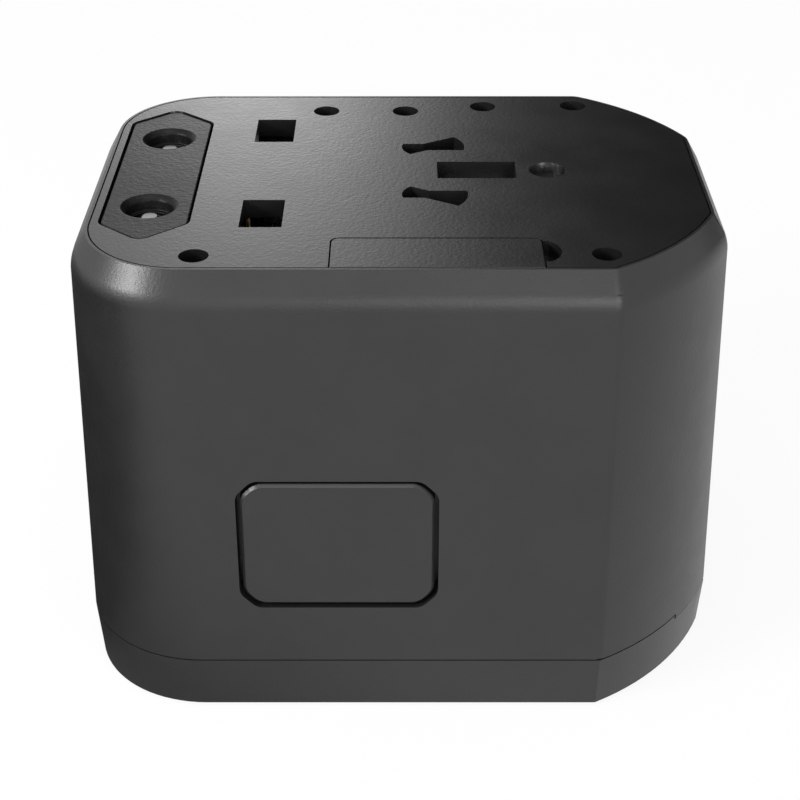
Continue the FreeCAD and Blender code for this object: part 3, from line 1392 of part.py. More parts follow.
def fuse_drawer():
    """Cover with a tray below it whose saddles hold the working and the spare fuse."""
    drawer = new_body("fuse_drawer")
    left, right = "(drawer_left + drawer_gap)", "(drawer_right - drawer_gap)"
    front = "(plate_rim + slip - HALF_FACE_Y)"
    back = "(DRAWER_BACK - drawer_gap)"
    pad(drawer, "cover", "XY_Plane", "PLATE_BOTTOM", "plate", [rectangle(left, right, front, back)])
    soften(drawer, "cover_corners", "Fillet", "drawer_corner", cover_edge)
    tray_front = "(FUSE_Y + fuse_radius + saddle / 4)"
    tray = rectangle(
        "FUSE_X - fuse_length / 2 + saddle_inset - tray_margin",
        "FUSE_X + fuse_length / 2 - saddle_inset + tray_margin",
        tray_front,
        "%s + tray_back" % tray_front,
    )
    tray_low = "(WORKING_FUSE_Z - fuse_radius - saddle)"
    pad(drawer, "tray_back", "XY_Plane", tray_low, "PLATE_BOTTOM - %s" % tray_low, [tray])
    for side, name in ((-1, "left"), (1, "right")):
        middle = "(FUSE_X + %d * (fuse_length / 2 - saddle_inset))" % side
        block = rectangle("FUSE_Y - saddle_reach", tray_front, tray_low, "PLATE_BOTTOM")
        start = "(%s - saddle_width / 2)" % middle
        pad(drawer, name + "_saddle", "YZ_Plane", start, "saddle_width", [block])
    seats = [("FUSE_Y", z, "fuse_radius + fuse_seat_gap") for z in ("WORKING_FUSE_Z", "SPARE_FUSE_Z")]
    pocket(
        drawer,
        "fuse_seats",
        "YZ_Plane",
        "drawer_right + cutter",
        "drawer_right - drawer_left + 2 * cutter",
        circles=seats,
    )
    return finish(drawer)


def cover_edge(centre, tangent, edge):
    return upright(centre, tangent, edge) and abs(centre.y - num("DRAWER_BACK - drawer_gap")) < NEAR


def fuse(label, level):
    """Tube fuse lying along the drawer: a body with two slightly larger end caps."""
    length = "(fuse_length / 2)"
    inner = "(fuse_length / 2 - fuse_cap)"
    tube = "(fuse_radius - fuse_tube_step)"
    half = [
        ("0", "-" + length, None),
        ("fuse_radius", "-" + length, None),
        ("fuse_radius", "-" + inner, None),
        (tube, "-" + inner, None),
        (tube, inner, None),
        ("fuse_radius", inner, None),
        ("fuse_radius", length, None),
        ("0", length, None),
    ]
    body = new_body(label)
    sketch = shapes_on(body, label + "_half", "XZ_Plane", "0", [half])
    turned = body.newObject("PartDesign::Revolution", label + "_turned")
    turned.Profile = sketch
    turned.ReferenceAxis = (sketch, ["V_Axis"])
    turned.Angle = 360
    body.Placement = FreeCAD.Placement(
        FreeCAD.Vector(0, 0, 0), FreeCAD.Rotation(FreeCAD.Vector(0, 1, 0), 90)
    )
    body.setExpression("Placement.Base.x", bound("FUSE_X"))
    body.setExpression("Placement.Base.y", bound("FUSE_Y"))
    body.setExpression("Placement.Base.z", bound(level))
    doc.recompute()
    return finish(body)


def fuse_clips():
    """Two brass forks on the shelf that hold the working fuse by its end caps."""
    clips = []
    inner = "(fuse_radius + clip_gap)"
    outer = "(fuse_radius + clip_gap + clip_leaf)"
    top = "WORKING_FUSE_Z"
    for side, name in ((-1, "left"), (1, "right")):
        middle = "(FUSE_X + %d * (fuse_length / 2 - clip_width / 2 - clip_inset))" % side
        span = ("(%s - clip_width / 2)" % middle, "(%s + clip_width / 2)" % middle)
        outer_span = ("FUSE_Y - %s" % outer, "FUSE_Y + %s" % outer)
        inner_span = ("FUSE_Y - %s" % inner, "FUSE_Y + %s" % inner)
        block = slab(name + "_clip_block", *span, *outer_span, "SHELF_TOP", top)
        hollow = slab(name + "_clip_hollow", *span, *inner_span, "SHELF_TOP + clip_leaf", top)
        clips.append(cut(name + "_clip", block, [hollow]))
    return finish(grouped("fuse_clips", clips))


# Release button

def release_button():
    """Flush push button with a hidden flange behind the wall."""
    button = new_body("release_button")
    gap = "button_gap"
    face = cut_corners(
        "(button_left + %s)" % gap,
        "(button_right - %s)" % gap,
        "(button_bottom + %s)" % gap,
        "(button_top - %s)" % gap,
        "(button_corner - %s * 0.4)" % gap,
    )
    pad(button, "face", "XZ_Plane", "FLANGE_FRONT", "width / 2 - FLANGE_FRONT + cutter", [face])
    drafted_face(button, "flush_face")
    front = -num("HALF_FACE_Y + %s" % wall_offset("button_top"))
    soften(button, "bevel", "Chamfer", "button_bevel", lambda centre, tangent, edge: centre.y < front + NEAR)
    margin = "flange_margin"
    flange = cut_corners(
        "(button_left - %s)" % margin,
        "(button_right + %s)" % margin,
        "(button_bottom - %s)" % margin,
        "(button_top + %s)" % margin,
        "button_corner",
    )
    pad(button, "flange", "XZ_Plane", "FLANGE_FRONT - flange", "flange", [flange])
    return finish(button)


def latch_plate():
    """Steel plate on the back of the button, with two tongues over the UK carriage."""
    plate = new_body("latch_plate")
    back = "LATCH_BACK"
    sides = ("(button_left + latch_margin)", "(button_right - latch_margin)")
    top = "(button_top - latch_margin + latch_rise)"
    face = rectangle(*sides, "(button_bottom + latch_margin)", top)
    pad(plate, "sheet", "XZ_Plane", back, "latch", [face])
    tongues = [
        rectangle(sides[0], "(%s + tongue_width)" % sides[0], "(%s - tongue_height)" % top, top),
        rectangle("(%s - tongue_width)" % sides[1], sides[1], "(%s - tongue_height)" % top, top),
    ]
    pad(plate, "tongues", "XZ_Plane", "%s - tongue" % back, "tongue", tongues)
    return finish(plate)


def latch_spring():
    """Bowed leaf spring between the latch plate and its seat on the deck."""
    spring = new_body("latch_spring")
    front = "(-LATCH_BACK)"
    back = "DECK_FRONT"
    left, right = "(button_left + latch_spring_inset)", "(button_right - latch_spring_inset)"
    middle = "((%s + %s) / 2)" % (left, right)
    foot = "latch_spring_flat"
    corners = [
        (left, "(%s - latch_spring)" % back, None),
        ("(%s - %s)" % (middle, foot), front, None),
        ("(%s + %s)" % (middle, foot), front, None),
        (right, "(%s - latch_spring)" % back, None),
        (right, back, None),
        ("(%s + %s)" % (middle, foot), "(%s + latch_spring)" % front, None),
        ("(%s - %s)" % (middle, foot), "(%s + latch_spring)" % front, None),
        (left, back, None),
    ]
    pad(
        spring,
        "leaf",
        "XY_Plane",
        "DECK_TOP + latch_spring_rise",
        "seat_height - latch_spring_drop",
        [corners],
    )
    return finish(spring)


# USB supply

def usb_board():
    board = new_body("usb_board")
    half_x = "(HALF_FACE_X + %s - wall - 4 * slip)" % wall_offset("BOARD_TOP")
    plan = [
        ("BOARD_LEFT", "-board_half", None),
        ("(RIGHT_WELL_X + board_cut_x)", "-board_half", None),
        (half_x, "(-board_half + board_cut)", None),
        (half_x, "(board_half - board_cut)", None),
        ("(RIGHT_WELL_X + board_cut_x)", "board_half", None),
        ("BOARD_LEFT", "board_half", None),
    ]
    pad(board, "sheet", "XY_Plane", "BOARD_BOTTOM", "board", [plan])
    return finish(board)


def usb_port(name, width, height, length, middle_z, round_ends):
    """Folded steel shell open to the right, and the plastic tongue inside it."""
    shell = new_body(name + "_shell")
    tongue = new_body(name + "_tongue")
    half = ("(%s / 2)" % width, "(%s / 2)" % height)
    if round_ends:
        outer = pill("0", middle_z, *half)
        inner = pill("0", middle_z, "(%s - usb_shell)" % half[0], "(%s - usb_shell)" % half[1])
    else:
        outer = centred("0", middle_z, *half)
        inner = centred("0", middle_z, "(%s - usb_shell)" % half[0], "(%s - usb_shell)" % half[1])
    back = "(USB_MOUTH - %s)" % length
    pad(shell, "tube", "YZ_Plane", back, length, [outer])
    pocket(shell, "mouth", "YZ_Plane", "USB_MOUTH", "%s - usb_shell" % length, [inner])
    blade_z = "(%s + %s / 5)" % (middle_z, height) if not round_ends else middle_z
    blade_half = "(%s / 10)" % height if round_ends else "(%s / 6)" % height
    blade = centred("0", blade_z, "(%s * 0.37)" % width, blade_half)
    pad(
        tongue,
        "blade",
        "YZ_Plane",
        back + " + usb_shell",
        "%s - usb_shell - usb_tongue_drop" % length,
        [blade],
    )
    finish(shell)
    return finish(tongue)


def usb_supply():
    usb_board()
    usb_port("usb_a", "usb_a_width", "usb_a_height", "usb_a_length", "USB_A_Z", False)
    usb_port("usb_c", "usb_c_width", "usb_c_height", "usb_c_length", "USB_C_Z", True)
    transformer = new_body("transformer")
    left = "(BOARD_LEFT + transformer_inset)"
    core_y = "(board_half - winding - transformer_y)"
    core = rectangle(left, "%s + transformer_x" % left, core_y, "%s + transformer_y" % core_y)
    pad(transformer, "core", "XY_Plane", "BOARD_TOP", "transformer_z", [core])
    middle_x = "(%s + transformer_x / 2)" % left
    band_x = ("%s - transformer_x / 4" % middle_x, "%s + transformer_x / 4" % middle_x)
    band = rectangle(*band_x, "%s - winding" % core_y, "board_half")
    pad(
        transformer,
        "winding",
        "XY_Plane",
        "BOARD_TOP + winding_inset",
        "transformer_z - 2 * winding_inset",
        [band],
    )
    finish(transformer)
    capacitors = []
    for i in range(2):
        x = "(BOARD_LEFT + capacitor_x + %d * (2 * capacitor_radius + capacitor_gap))" % i
        y = "(capacitor_radius + capacitor_inset - board_half)"
        capacitors.append(
            drum("capacitor_%d" % i, x, y, "BOARD_TOP", "BOARD_TOP + capacitor_height", "capacitor_radius")
        )
    return finish(grouped("capacitors", capacitors))


casing()
pin_face_plate()
base_cap()
case_screws()
contact_deck()
socket_clip("live_socket_clip", -1)
socket_clip("neutral_socket_clip", 1)
earth_clip()
bus_strip("live_bus_strip", -1)
bus_strip("neutral_bus_strip", 1)
bus_strip("earth_bus_strip", 0)
socket_shutter()
shutter_spring()
uk_carriage()
uk_pin("uk_live_pin", "FRONT_LINE")
uk_pin("uk_neutral_pin", "BACK_LINE")
uk_earth_pin()
back_knob("uk_slider_knob", "uk_knob_x", "UK_KNOB_TOP", "UK_BASE")
us_carriage()
us_blade("us_front_blade", -1)
us_blade("us_back_blade", 1)
back_knob("us_slider_knob", "us_knob_x", "US_KNOB_TOP", "US_BASE")
eu_block()
eu_pin_carriage()
eu_pin("eu_front_pin", -1)
eu_pin("eu_back_pin", 1)
eu_slider_knob()
fuse_drawer()
fuse("working_fuse", "WORKING_FUSE_Z")
fuse("spare_fuse", "SPARE_FUSE_Z")
fuse_clips()
release_button()
latch_plate()
latch_spring()
usb_supply()
doc.recompute()

for obj in doc.Objects:
    if "Invalid" in obj.State or "Error" in obj.State:
        raise RuntimeError("%s failed: %s" % (obj.Label, obj.State))
for node in NODES:
    if node.Shape.isNull() or not node.Shape.isValid():
        raise RuntimeError("%s has no valid shape" % node.Label)

os.makedirs("parts", exist_ok=True)
for node in NODES:
    node.Shape.exportStep(os.path.join("parts", node.Label + ".step"))
    box = node.Shape.BoundBox
    print("%-20s %2d solids %9.1f mm3  %s" % (node.Label, len(node.Shape.Solids), node.Shape.Volume, box))
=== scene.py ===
"""A cube-shaped universal travel adapter, standing on its socket face with the pin face up."""

import json
import math

import bpy
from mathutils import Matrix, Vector


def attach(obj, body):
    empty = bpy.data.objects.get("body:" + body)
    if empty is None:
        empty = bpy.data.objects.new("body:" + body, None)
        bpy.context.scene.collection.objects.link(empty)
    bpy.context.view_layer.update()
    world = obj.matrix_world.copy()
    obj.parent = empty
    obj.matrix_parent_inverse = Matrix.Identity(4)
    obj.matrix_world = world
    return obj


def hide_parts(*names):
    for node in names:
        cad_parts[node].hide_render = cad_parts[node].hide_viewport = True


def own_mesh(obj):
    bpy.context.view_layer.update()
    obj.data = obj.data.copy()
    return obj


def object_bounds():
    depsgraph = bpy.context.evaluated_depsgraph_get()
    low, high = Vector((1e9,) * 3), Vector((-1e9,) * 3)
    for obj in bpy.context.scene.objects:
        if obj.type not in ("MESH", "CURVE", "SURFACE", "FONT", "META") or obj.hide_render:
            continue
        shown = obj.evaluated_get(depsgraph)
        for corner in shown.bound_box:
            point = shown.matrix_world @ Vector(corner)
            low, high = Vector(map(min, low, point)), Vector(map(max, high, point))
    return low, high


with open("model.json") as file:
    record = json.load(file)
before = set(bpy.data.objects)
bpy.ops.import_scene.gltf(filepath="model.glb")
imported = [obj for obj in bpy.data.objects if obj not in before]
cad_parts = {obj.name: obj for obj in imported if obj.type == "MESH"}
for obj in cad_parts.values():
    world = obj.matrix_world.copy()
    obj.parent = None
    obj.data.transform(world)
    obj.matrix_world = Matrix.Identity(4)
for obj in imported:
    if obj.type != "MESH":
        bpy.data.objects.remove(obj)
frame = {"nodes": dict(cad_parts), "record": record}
NODES = frame["nodes"]
BODIES = frame["record"]["behaviour"]["bodies"]
BODY_OF = {node: body for body, nodes in BODIES.items() for node in nodes}
cad_low, cad_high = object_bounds()

MM = 0.001
HEIGHT = cad_high.z

# The body's outline at the pin face: half its length and width, the radius of its left corners, and
# the radius of its right bulges, with how far right of the middle and past the middle line each of
# their centres lies
HALF_X = 31.826 * MM
HALF_Y = 22.876 * MM
CORNER = 10.4 * MM
BULGE = 28.0 * MM
BULGE_X = 6.146 * MM
BULGE_Y = 1.174 * MM

# The outer skin's profile: a leaning wall, a shoulder above it, and under its seam a cap that leans
# back to a foot
SEAM_Z = 6.8 * MM
SHOULDER_RISE = 2.9 * MM
SHOULDER_DEPTH = 1.66 * MM
WALL_TOP_Z = HEIGHT - SHOULDER_RISE
WALL_LEAN = math.atan(0.0293)
SHOULDER_LEAN = math.atan(SHOULDER_DEPTH / SHOULDER_RISE)
CAP_LEAN = -math.atan(0.07)
FOOT_Z = 0.8 * MM

# The photograph's camera, fitted to the object's edges
LENS = 77.59
SENSOR = 36.0
CAMERA_PLACE = (-0.00008, -0.17038, 0.12555)
CAMERA_TILT = math.radians(59.17)
CAMERA_SHIFT = -0.00146

FLOAT = "NodeSocketFloat"
VECTOR = "NodeSocketVector"
GEOMETRY = "NodeSocketGeometry"


class Graph:
    """A node tree under construction: add() makes a node, the others give a new node's output."""

    def __init__(self, tree):
        self.tree = tree

    def feed(self, socket, value):
        """Links an output to the socket, or sets the socket to a plain value."""
        if isinstance(value, bpy.types.NodeSocket):
            self.tree.links.new(value, socket)
        else:
            socket.default_value = value

    def add(self, kind, inputs=None, **settings):
        node = self.tree.nodes.new(kind)
        for name, value in settings.items():
            setattr(node, name, value)
        for name, value in (inputs or {}).items():
            self.feed(node.inputs[name], value)
        return node

    def math(self, operation, first, second=0.0, clamp=False):
        """A sum, product, comparison or the like of one or two numbers."""
        inputs = {0: first, 1: second}
        return self.add("ShaderNodeMath", inputs, operation=operation, use_clamp=clamp).outputs[0]

    def product(self, first, *others):
        """The product of any count of numbers; of tests, it is 1 where all of them hold."""
        for other in others:
            first = self.math("MULTIPLY", first, other)
        return first

    def line(self, value, low, high, start, end, kind="LINEAR"):
        """value from low to high, mapped in a straight line to start to end and held outside."""
        inputs = {"Value": value, "From Min": low, "From Max": high, "To Min": start, "To Max": end}
        return self.add("ShaderNodeMapRange", inputs, interpolation_type=kind).outputs[0]

    def ramp(self, value, low, high, start=0.0, end=1.0):
        """value from low to high, mapped smoothly to start to end."""
        return self.line(value, low, high, start, end, kind="SMOOTHSTEP")

    def vector(self, operation, first, second=None, **more):
        """A vector sum, product or the like; the length and the dot product come out as numbers."""
        inputs = {0: first} if second is None else {0: first, 1: second}
        node = self.add("ShaderNodeVectorMath", {**inputs, **more}, operation=operation)
        return node.outputs[1 if operation in ("LENGTH", "DOT_PRODUCT") else 0]

    def point(self, x, y, z=0.0):
        return self.add("ShaderNodeCombineXYZ", {0: x, 1: y, 2: z}).outputs[0]

    def parts(self, vector):
        """The x, y and z of a vector."""
        return self.add("ShaderNodeSeparateXYZ", {0: vector}).outputs

    def blend(self, factor, first, second):
        """Two vectors mixed by factor."""
        inputs = {0: factor, 4: first, 5: second}
        return self.add("ShaderNodeMix", inputs, data_type="VECTOR").outputs[1]

    def mix(self, factor, first, second):
        """Two colours mixed by factor."""
        inputs = {0: factor, 6: first, 7: second}
        return self.add("ShaderNodeMix", inputs, data_type="RGBA").outputs[2]

    def place(self, space="Object"):
        return self.add("ShaderNodeTexCoord").outputs[space]

    def noise(self, place, scale, detail, roughness=0.5):
        inputs = {"Vector": place, "Scale": scale, "Detail": detail, "Roughness": roughness}
        return self.add("ShaderNodeTexNoise", inputs).outputs["Fac"]

    def bump(self, height, distance):
        """The normal of a surface that height, from 0 to 1, lifts by distance in mm."""
        inputs = {"Height": height, "Distance": distance * MM}
        return self.add("ShaderNodeBump", inputs).outputs["Normal"]

    def use(self, group, **values):
        return self.add("ShaderNodeGroup", values, node_tree=group).outputs


def new_group(kind, name, inputs, outputs):
    """An empty node group. inputs is name: (socket type, default); outputs is name: socket type."""
    tree = bpy.data.node_groups.new(name, kind)
    for label, (socket_type, default) in inputs.items():
        socket = tree.interface.new_socket(label, in_out="INPUT", socket_type=socket_type)
        if default is not None:
            socket.default_value = default
    for label, socket_type in outputs.items():
        tree.interface.new_socket(label, in_out="OUTPUT", socket_type=socket_type)
    graph = Graph(tree)
    return tree, graph, graph.add("NodeGroupInput").outputs, graph.add("NodeGroupOutput").inputs


def grey(level):
    return (level, level, level, 1.0)


# What a metal's brushing is scaled by, so that its lines run along x or z
ALONG_X = (0.05, 1.0, 1.0)
ALONG_Z = (1.0, 1.0, 0.05)
# The middle of a noise's range, which most of its values fill, and the spans over which it turns to
# worn and to tarnished
NOISE_SPAN = (0.3, 0.7)
WORN_SPAN = (0.35, 0.65)
TARNISH_SPAN = (0.35, 0.7)


def moulded_grain_group():
    """The pebbled grain of a spark-eroded mould: a height from -1 to 1, and slow patches of tone."""
    inputs = {"Size": (FLOAT, 0.3)}
    outputs = {"Height": FLOAT, "Patches": FLOAT}
    tree, g, given, result = new_group("ShaderNodeTree", "moulded_grain", inputs, outputs)
    place = g.place()
    pebbles = g.noise(place, g.math("DIVIDE", 1 / MM, given["Size"]), detail=1.5)
    g.feed(result["Height"], g.math("MULTIPLY", g.math("SUBTRACT", pebbles, 0.5), 2.0))
    g.feed(result["Patches"], g.noise(place, 0.12 / MM, detail=3.0, roughness=0.6))
    return tree


def edge_polish_group():
    """How far handling has rubbed an edge smooth, from 0 on the flats to 1 on a sharp edge."""
    flat_level = 0.51
    spread = 0.06
    inputs = {"Amount": (FLOAT, 0.5)}
    tree, g, given, result = new_group("ShaderNodeTree", "edge_polish", inputs, {"Mask": FLOAT})
    pointed = g.add("ShaderNodeNewGeometry").outputs["Pointiness"]
    edge = g.math("DIVIDE", g.math("SUBTRACT", pointed, flat_level), spread, clamp=True)
    worn = g.ramp(g.noise(g.place(), 0.4 / MM, detail=4.0), *WORN_SPAN)
    g.feed(result["Mask"], g.product(edge, worn, given["Amount"]))
    return tree


def brushing_group():
    """Fine lines along one axis, as a metal strip keeps from rolling or a pin from polishing."""
    lines_per_metre = 6000.0
    inputs = {"Stretch": (VECTOR, ALONG_Z)}
    tree, g, given, result = new_group("ShaderNodeTree", "brushing", inputs, {"Height": FLOAT})
    stretched = g.vector("MULTIPLY", g.place(), given["Stretch"])
    g.feed(result["Height"], g.noise(stretched, lines_per_metre, detail=3.0))
    return tree


GRAIN = moulded_grain_group()
POLISH = edge_polish_group()
BRUSHING = brushing_group()


def new_material(name):
    """A material with a Principled shader: gives it, its graph and the shader's inputs."""
    material = bpy.data.materials.new(name)
    material.use_nodes = True
    return material, Graph(material.node_tree), material.node_tree.nodes["Principled BSDF"].inputs


def moulded_plastic(name, tone, rough, grain, specular=0.5, tint=(1.0, 1.0, 1.0), wear=0.5):
    """Moulded plastic, a little patchy in tone and gloss; grain is its size and depth in mm."""
    # The tones of a dark patch, a light patch and a worn edge, as shares of the plastic's own
    tone_shares = (0.93, 1.07, 1.5)
    patchiness = 0.02
    polished_by = 0.12
    material, g, shader = new_material(name)
    size, depth = grain
    skin = g.use(GRAIN, Size=size)
    rubbed = g.use(POLISH, Amount=wear)["Mask"]
    dark, light, worn = (tuple(tone * share * c for c in tint) + (1.0,) for share in tone_shares)
    body = g.mix(g.ramp(skin["Patches"], *NOISE_SPAN), dark, light)
    patchy = g.ramp(skin["Patches"], *NOISE_SPAN, rough - patchiness, rough + patchiness)
    g.feed(shader["Base Color"], g.mix(rubbed, body, worn))
    g.feed(shader["Roughness"], g.math("ADD", patchy, g.math("MULTIPLY", rubbed, -polished_by)))
    g.feed(shader["Normal"], g.bump(skin["Height"], depth))
    g.feed(shader["Specular IOR Level"], specular)
    return material


def brushed_metal(name, colour, rough, stretch=ALONG_Z):
    """Plated or rolled metal with fine brushing along one axis and a little tarnish."""
    dull_share = 0.86
    smoothest, roughest = rough * 0.8, rough * 1.25
    line_depth = 0.002
    material, g, shader = new_material(name)
    lines = g.use(BRUSHING, Stretch=stretch)["Height"]
    tarnish = g.ramp(g.use(GRAIN)["Patches"], *TARNISH_SPAN)
    bright = colour + (1.0,)
    dull = tuple(dull_share * c for c in colour) + (1.0,)
    g.feed(shader["Base Color"], g.mix(tarnish, bright, dull))
    g.feed(shader["Roughness"], g.ramp(lines, *NOISE_SPAN, smoothest, roughest))
    g.feed(shader["Normal"], g.bump(lines, line_depth))
    g.feed(shader["Metallic"], 1.0)
    return material


def fuse_ceramic():
    """A tube fuse: a matt white ceramic body between two plated end caps."""
    # How far from the middle a cap starts, as a share of the fuse's length
    cap_start = 0.26
    white = (0.78, 0.76, 0.70, 1.0)
    plating = (0.66, 0.65, 0.62, 1.0)
    ceramic_rough = 0.55
    plating_rough = 0.24
    line_depth = 0.003
    material, g, shader = new_material("fuse_ceramic")
    along = g.parts(g.place("Generated"))["X"]
    cap = g.math("GREATER_THAN", g.math("ABSOLUTE", g.math("SUBTRACT", along, 0.5)), cap_start)
    g.feed(shader["Base Color"], g.mix(cap, white, plating))
    g.feed(shader["Metallic"], cap)
    g.feed(shader["Roughness"], g.ramp(cap, 0.0, 1.0, ceramic_rough, plating_rough))
    g.feed(shader["Normal"], g.bump(g.use(BRUSHING, Stretch=ALONG_X)["Height"], line_depth))
    return material


def board_laminate():
    """Green solder mask over faint copper tracks."""
    mask_green = (0.012, 0.095, 0.035, 1.0)
    track_green = (0.03, 0.17, 0.06, 1.0)
    track_height = 0.02
    material, g, shader = new_material("board_laminate")
    inputs = {
        "Vector": g.place(),
        "Scale": 0.45 / MM,
        "Mortar Size": 0.05,
        "Mortar Smooth": 0.2,
        "Color1": grey(0.0),
        "Color2": grey(0.25),
        "Mortar": grey(1.0),
    }
    tracks = g.add("ShaderNodeTexBrick", inputs, offset=0.37).outputs["Color"]
    g.feed(shader["Base Color"], g.mix(tracks, mask_green, track_green))
    g.feed(shader["Normal"], g.bump(tracks, track_height))
    g.feed(shader["Roughness"], 0.32)
    return material


CASE = moulded_plastic("case_plastic", tone=0.0105, rough=0.40, grain=(0.30, 0.009), wear=0.15)
FACE = moulded_plastic("face_plastic", tone=0.007, rough=0.32, grain=(0.36, 0.008), wear=0.08)
BLOCK = moulded_plastic(
    "eu_block_plastic", tone=0.004, rough=0.42, grain=(0.42, 0.020), specular=0.15, wear=0.1
)
BUTTON = moulded_plastic("button_plastic", tone=0.0105, rough=0.40, grain=(0.30, 0.009), wear=0.15)
SLIDER = moulded_plastic("slider_plastic", tone=0.020, rough=0.34, grain=(0.20, 0.005))
INNER = moulded_plastic("inner_plastic", tone=0.045, rough=0.38, grain=(0.5, 0.004))
SHUTTER = moulded_plastic("shutter_plastic", tone=0.16, rough=0.45, grain=(0.3, 0.004))
TONGUE_WHITE = moulded_plastic("tongue_white", tone=0.72, rough=0.4, grain=(0.4, 0.003))
TONGUE_BLACK = moulded_plastic("tongue_black", tone=0.03, rough=0.4, grain=(0.4, 0.003))
SLEEVE = moulded_plastic(
    "capacitor_sleeve", tone=0.05, rough=0.3, grain=(0.6, 0.002), tint=(0.35, 0.6, 1.6)
)
TAPE = moulded_plastic(
    "transformer_tape", tone=0.55, rough=0.36, grain=(0.8, 0.006), tint=(1.2, 0.95, 0.25)
)
NICKEL = brushed_metal("plated_pin", (0.78, 0.76, 0.72), rough=0.22)
# The round pins get a darker plating colour than the other pins: painted shade, standing in for the
# dark surroundings that their polished metal mirrors
ROUND_PIN = brushed_metal("round_pin", (0.32, 0.31, 0.30), rough=0.16)
EARTH_PIN = brushed_metal("earth_pin", (0.34, 0.34, 0.34), rough=0.55)
BRASS = brushed_metal("contact_brass", (0.83, 0.62, 0.30), rough=0.3)
STEEL = brushed_metal("spring_steel", (0.56, 0.56, 0.57), rough=0.3)
SCREW = brushed_metal("screw_steel", (0.22, 0.22, 0.23), rough=0.35)
PORT_STEEL = brushed_metal("port_steel", (0.68, 0.68, 0.70), rough=0.26, stretch=ALONG_X)
CERAMIC = fuse_ceramic()
LAMINATE = board_laminate()

FINISH = {
    CASE: ["casing", "base_cap"],
    FACE: ["pin_face_plate", "fuse_drawer"],
    BLOCK: ["eu_block"],
    BUTTON: ["release_button"],
    SLIDER: ["uk_slider_knob", "us_slider_knob", "eu_slider_knob"],
    INNER: ["contact_deck", "uk_carriage", "us_carriage", "eu_pin_carriage"],
    SHUTTER: ["socket_shutter"],
    TONGUE_WHITE: ["usb_a_tongue"],
    TONGUE_BLACK: ["usb_c_tongue"],
    SLEEVE: ["capacitors"],
    TAPE: ["transformer"],
    NICKEL: ["uk_live_pin", "uk_neutral_pin", "us_front_blade", "us_back_blade"],
    EARTH_PIN: ["uk_earth_pin"],
    ROUND_PIN: ["eu_front_pin", "eu_back_pin"],
    BRASS: [
        "live_socket_clip", "neutral_socket_clip", "earth_socket_clip", "live_bus_strip",
        "neutral_bus_strip", "earth_bus_strip", "fuse_clips",
    ],
    STEEL: ["latch_plate", "latch_spring", "shutter_spring"],
    SCREW: ["case_screws"],
    PORT_STEEL: ["usb_a_shell", "usb_c_shell"],
    CERAMIC: ["working_fuse", "spare_fuse"],
    LAMINATE: ["usb_board"],
}


def skin_places(g, x, y):
    """Where a point lies on the outline: its outward vectors, and how far it is past each curve."""
    side = g.math("SIGN", y)
    across = g.math("ABSOLUTE", y)
    left = g.math("MINIMUM", g.math("ADD", x, HALF_X - CORNER), 0.0)
    over = g.math("MAXIMUM", g.math("SUBTRACT", across, HALF_Y - CORNER), 0.0)
    flat = g.point(left, g.math("MULTIPLY", over, side))
    right = g.math("MAXIMUM", g.math("SUBTRACT", x, BULGE_X), 0.0)
    bulge = g.point(right, g.math("MULTIPLY", g.math("ADD", across, BULGE_Y), side))
    past_flat = g.math("SUBTRACT", g.vector("LENGTH", flat), CORNER)
    past_bulge = g.math("SUBTRACT", g.vector("LENGTH", bulge), BULGE)
    past_end = g.math("SUBTRACT", x, HALF_X)
    return flat, bulge, past_flat, past_bulge, past_end


# Half the widths over which one curve of the outline turns into the next
BULGE_BLEND = 0.25 * MM
END_BLEND = 0.2 * MM
# How far below and above its top the wall rolls into the shoulder
ROLL_BELOW = 1.0 * MM
ROLL_ABOVE = 0.87 * MM
# Where the cap ends under the seam, and where the jog in the seam at the right end starts
CAP_TOP_Z = SEAM_Z - 0.1 * MM
JOG_X = 30.5 * MM
JOG_Z = SEAM_Z - 0.6 * MM
# The foot's top, and how alike a facet's normal and the true one are on the outer skin, below and
# above it
FOOT_TOP = (0.85 * MM, 0.95 * MM)
ALIKE = (0.85, 0.97)


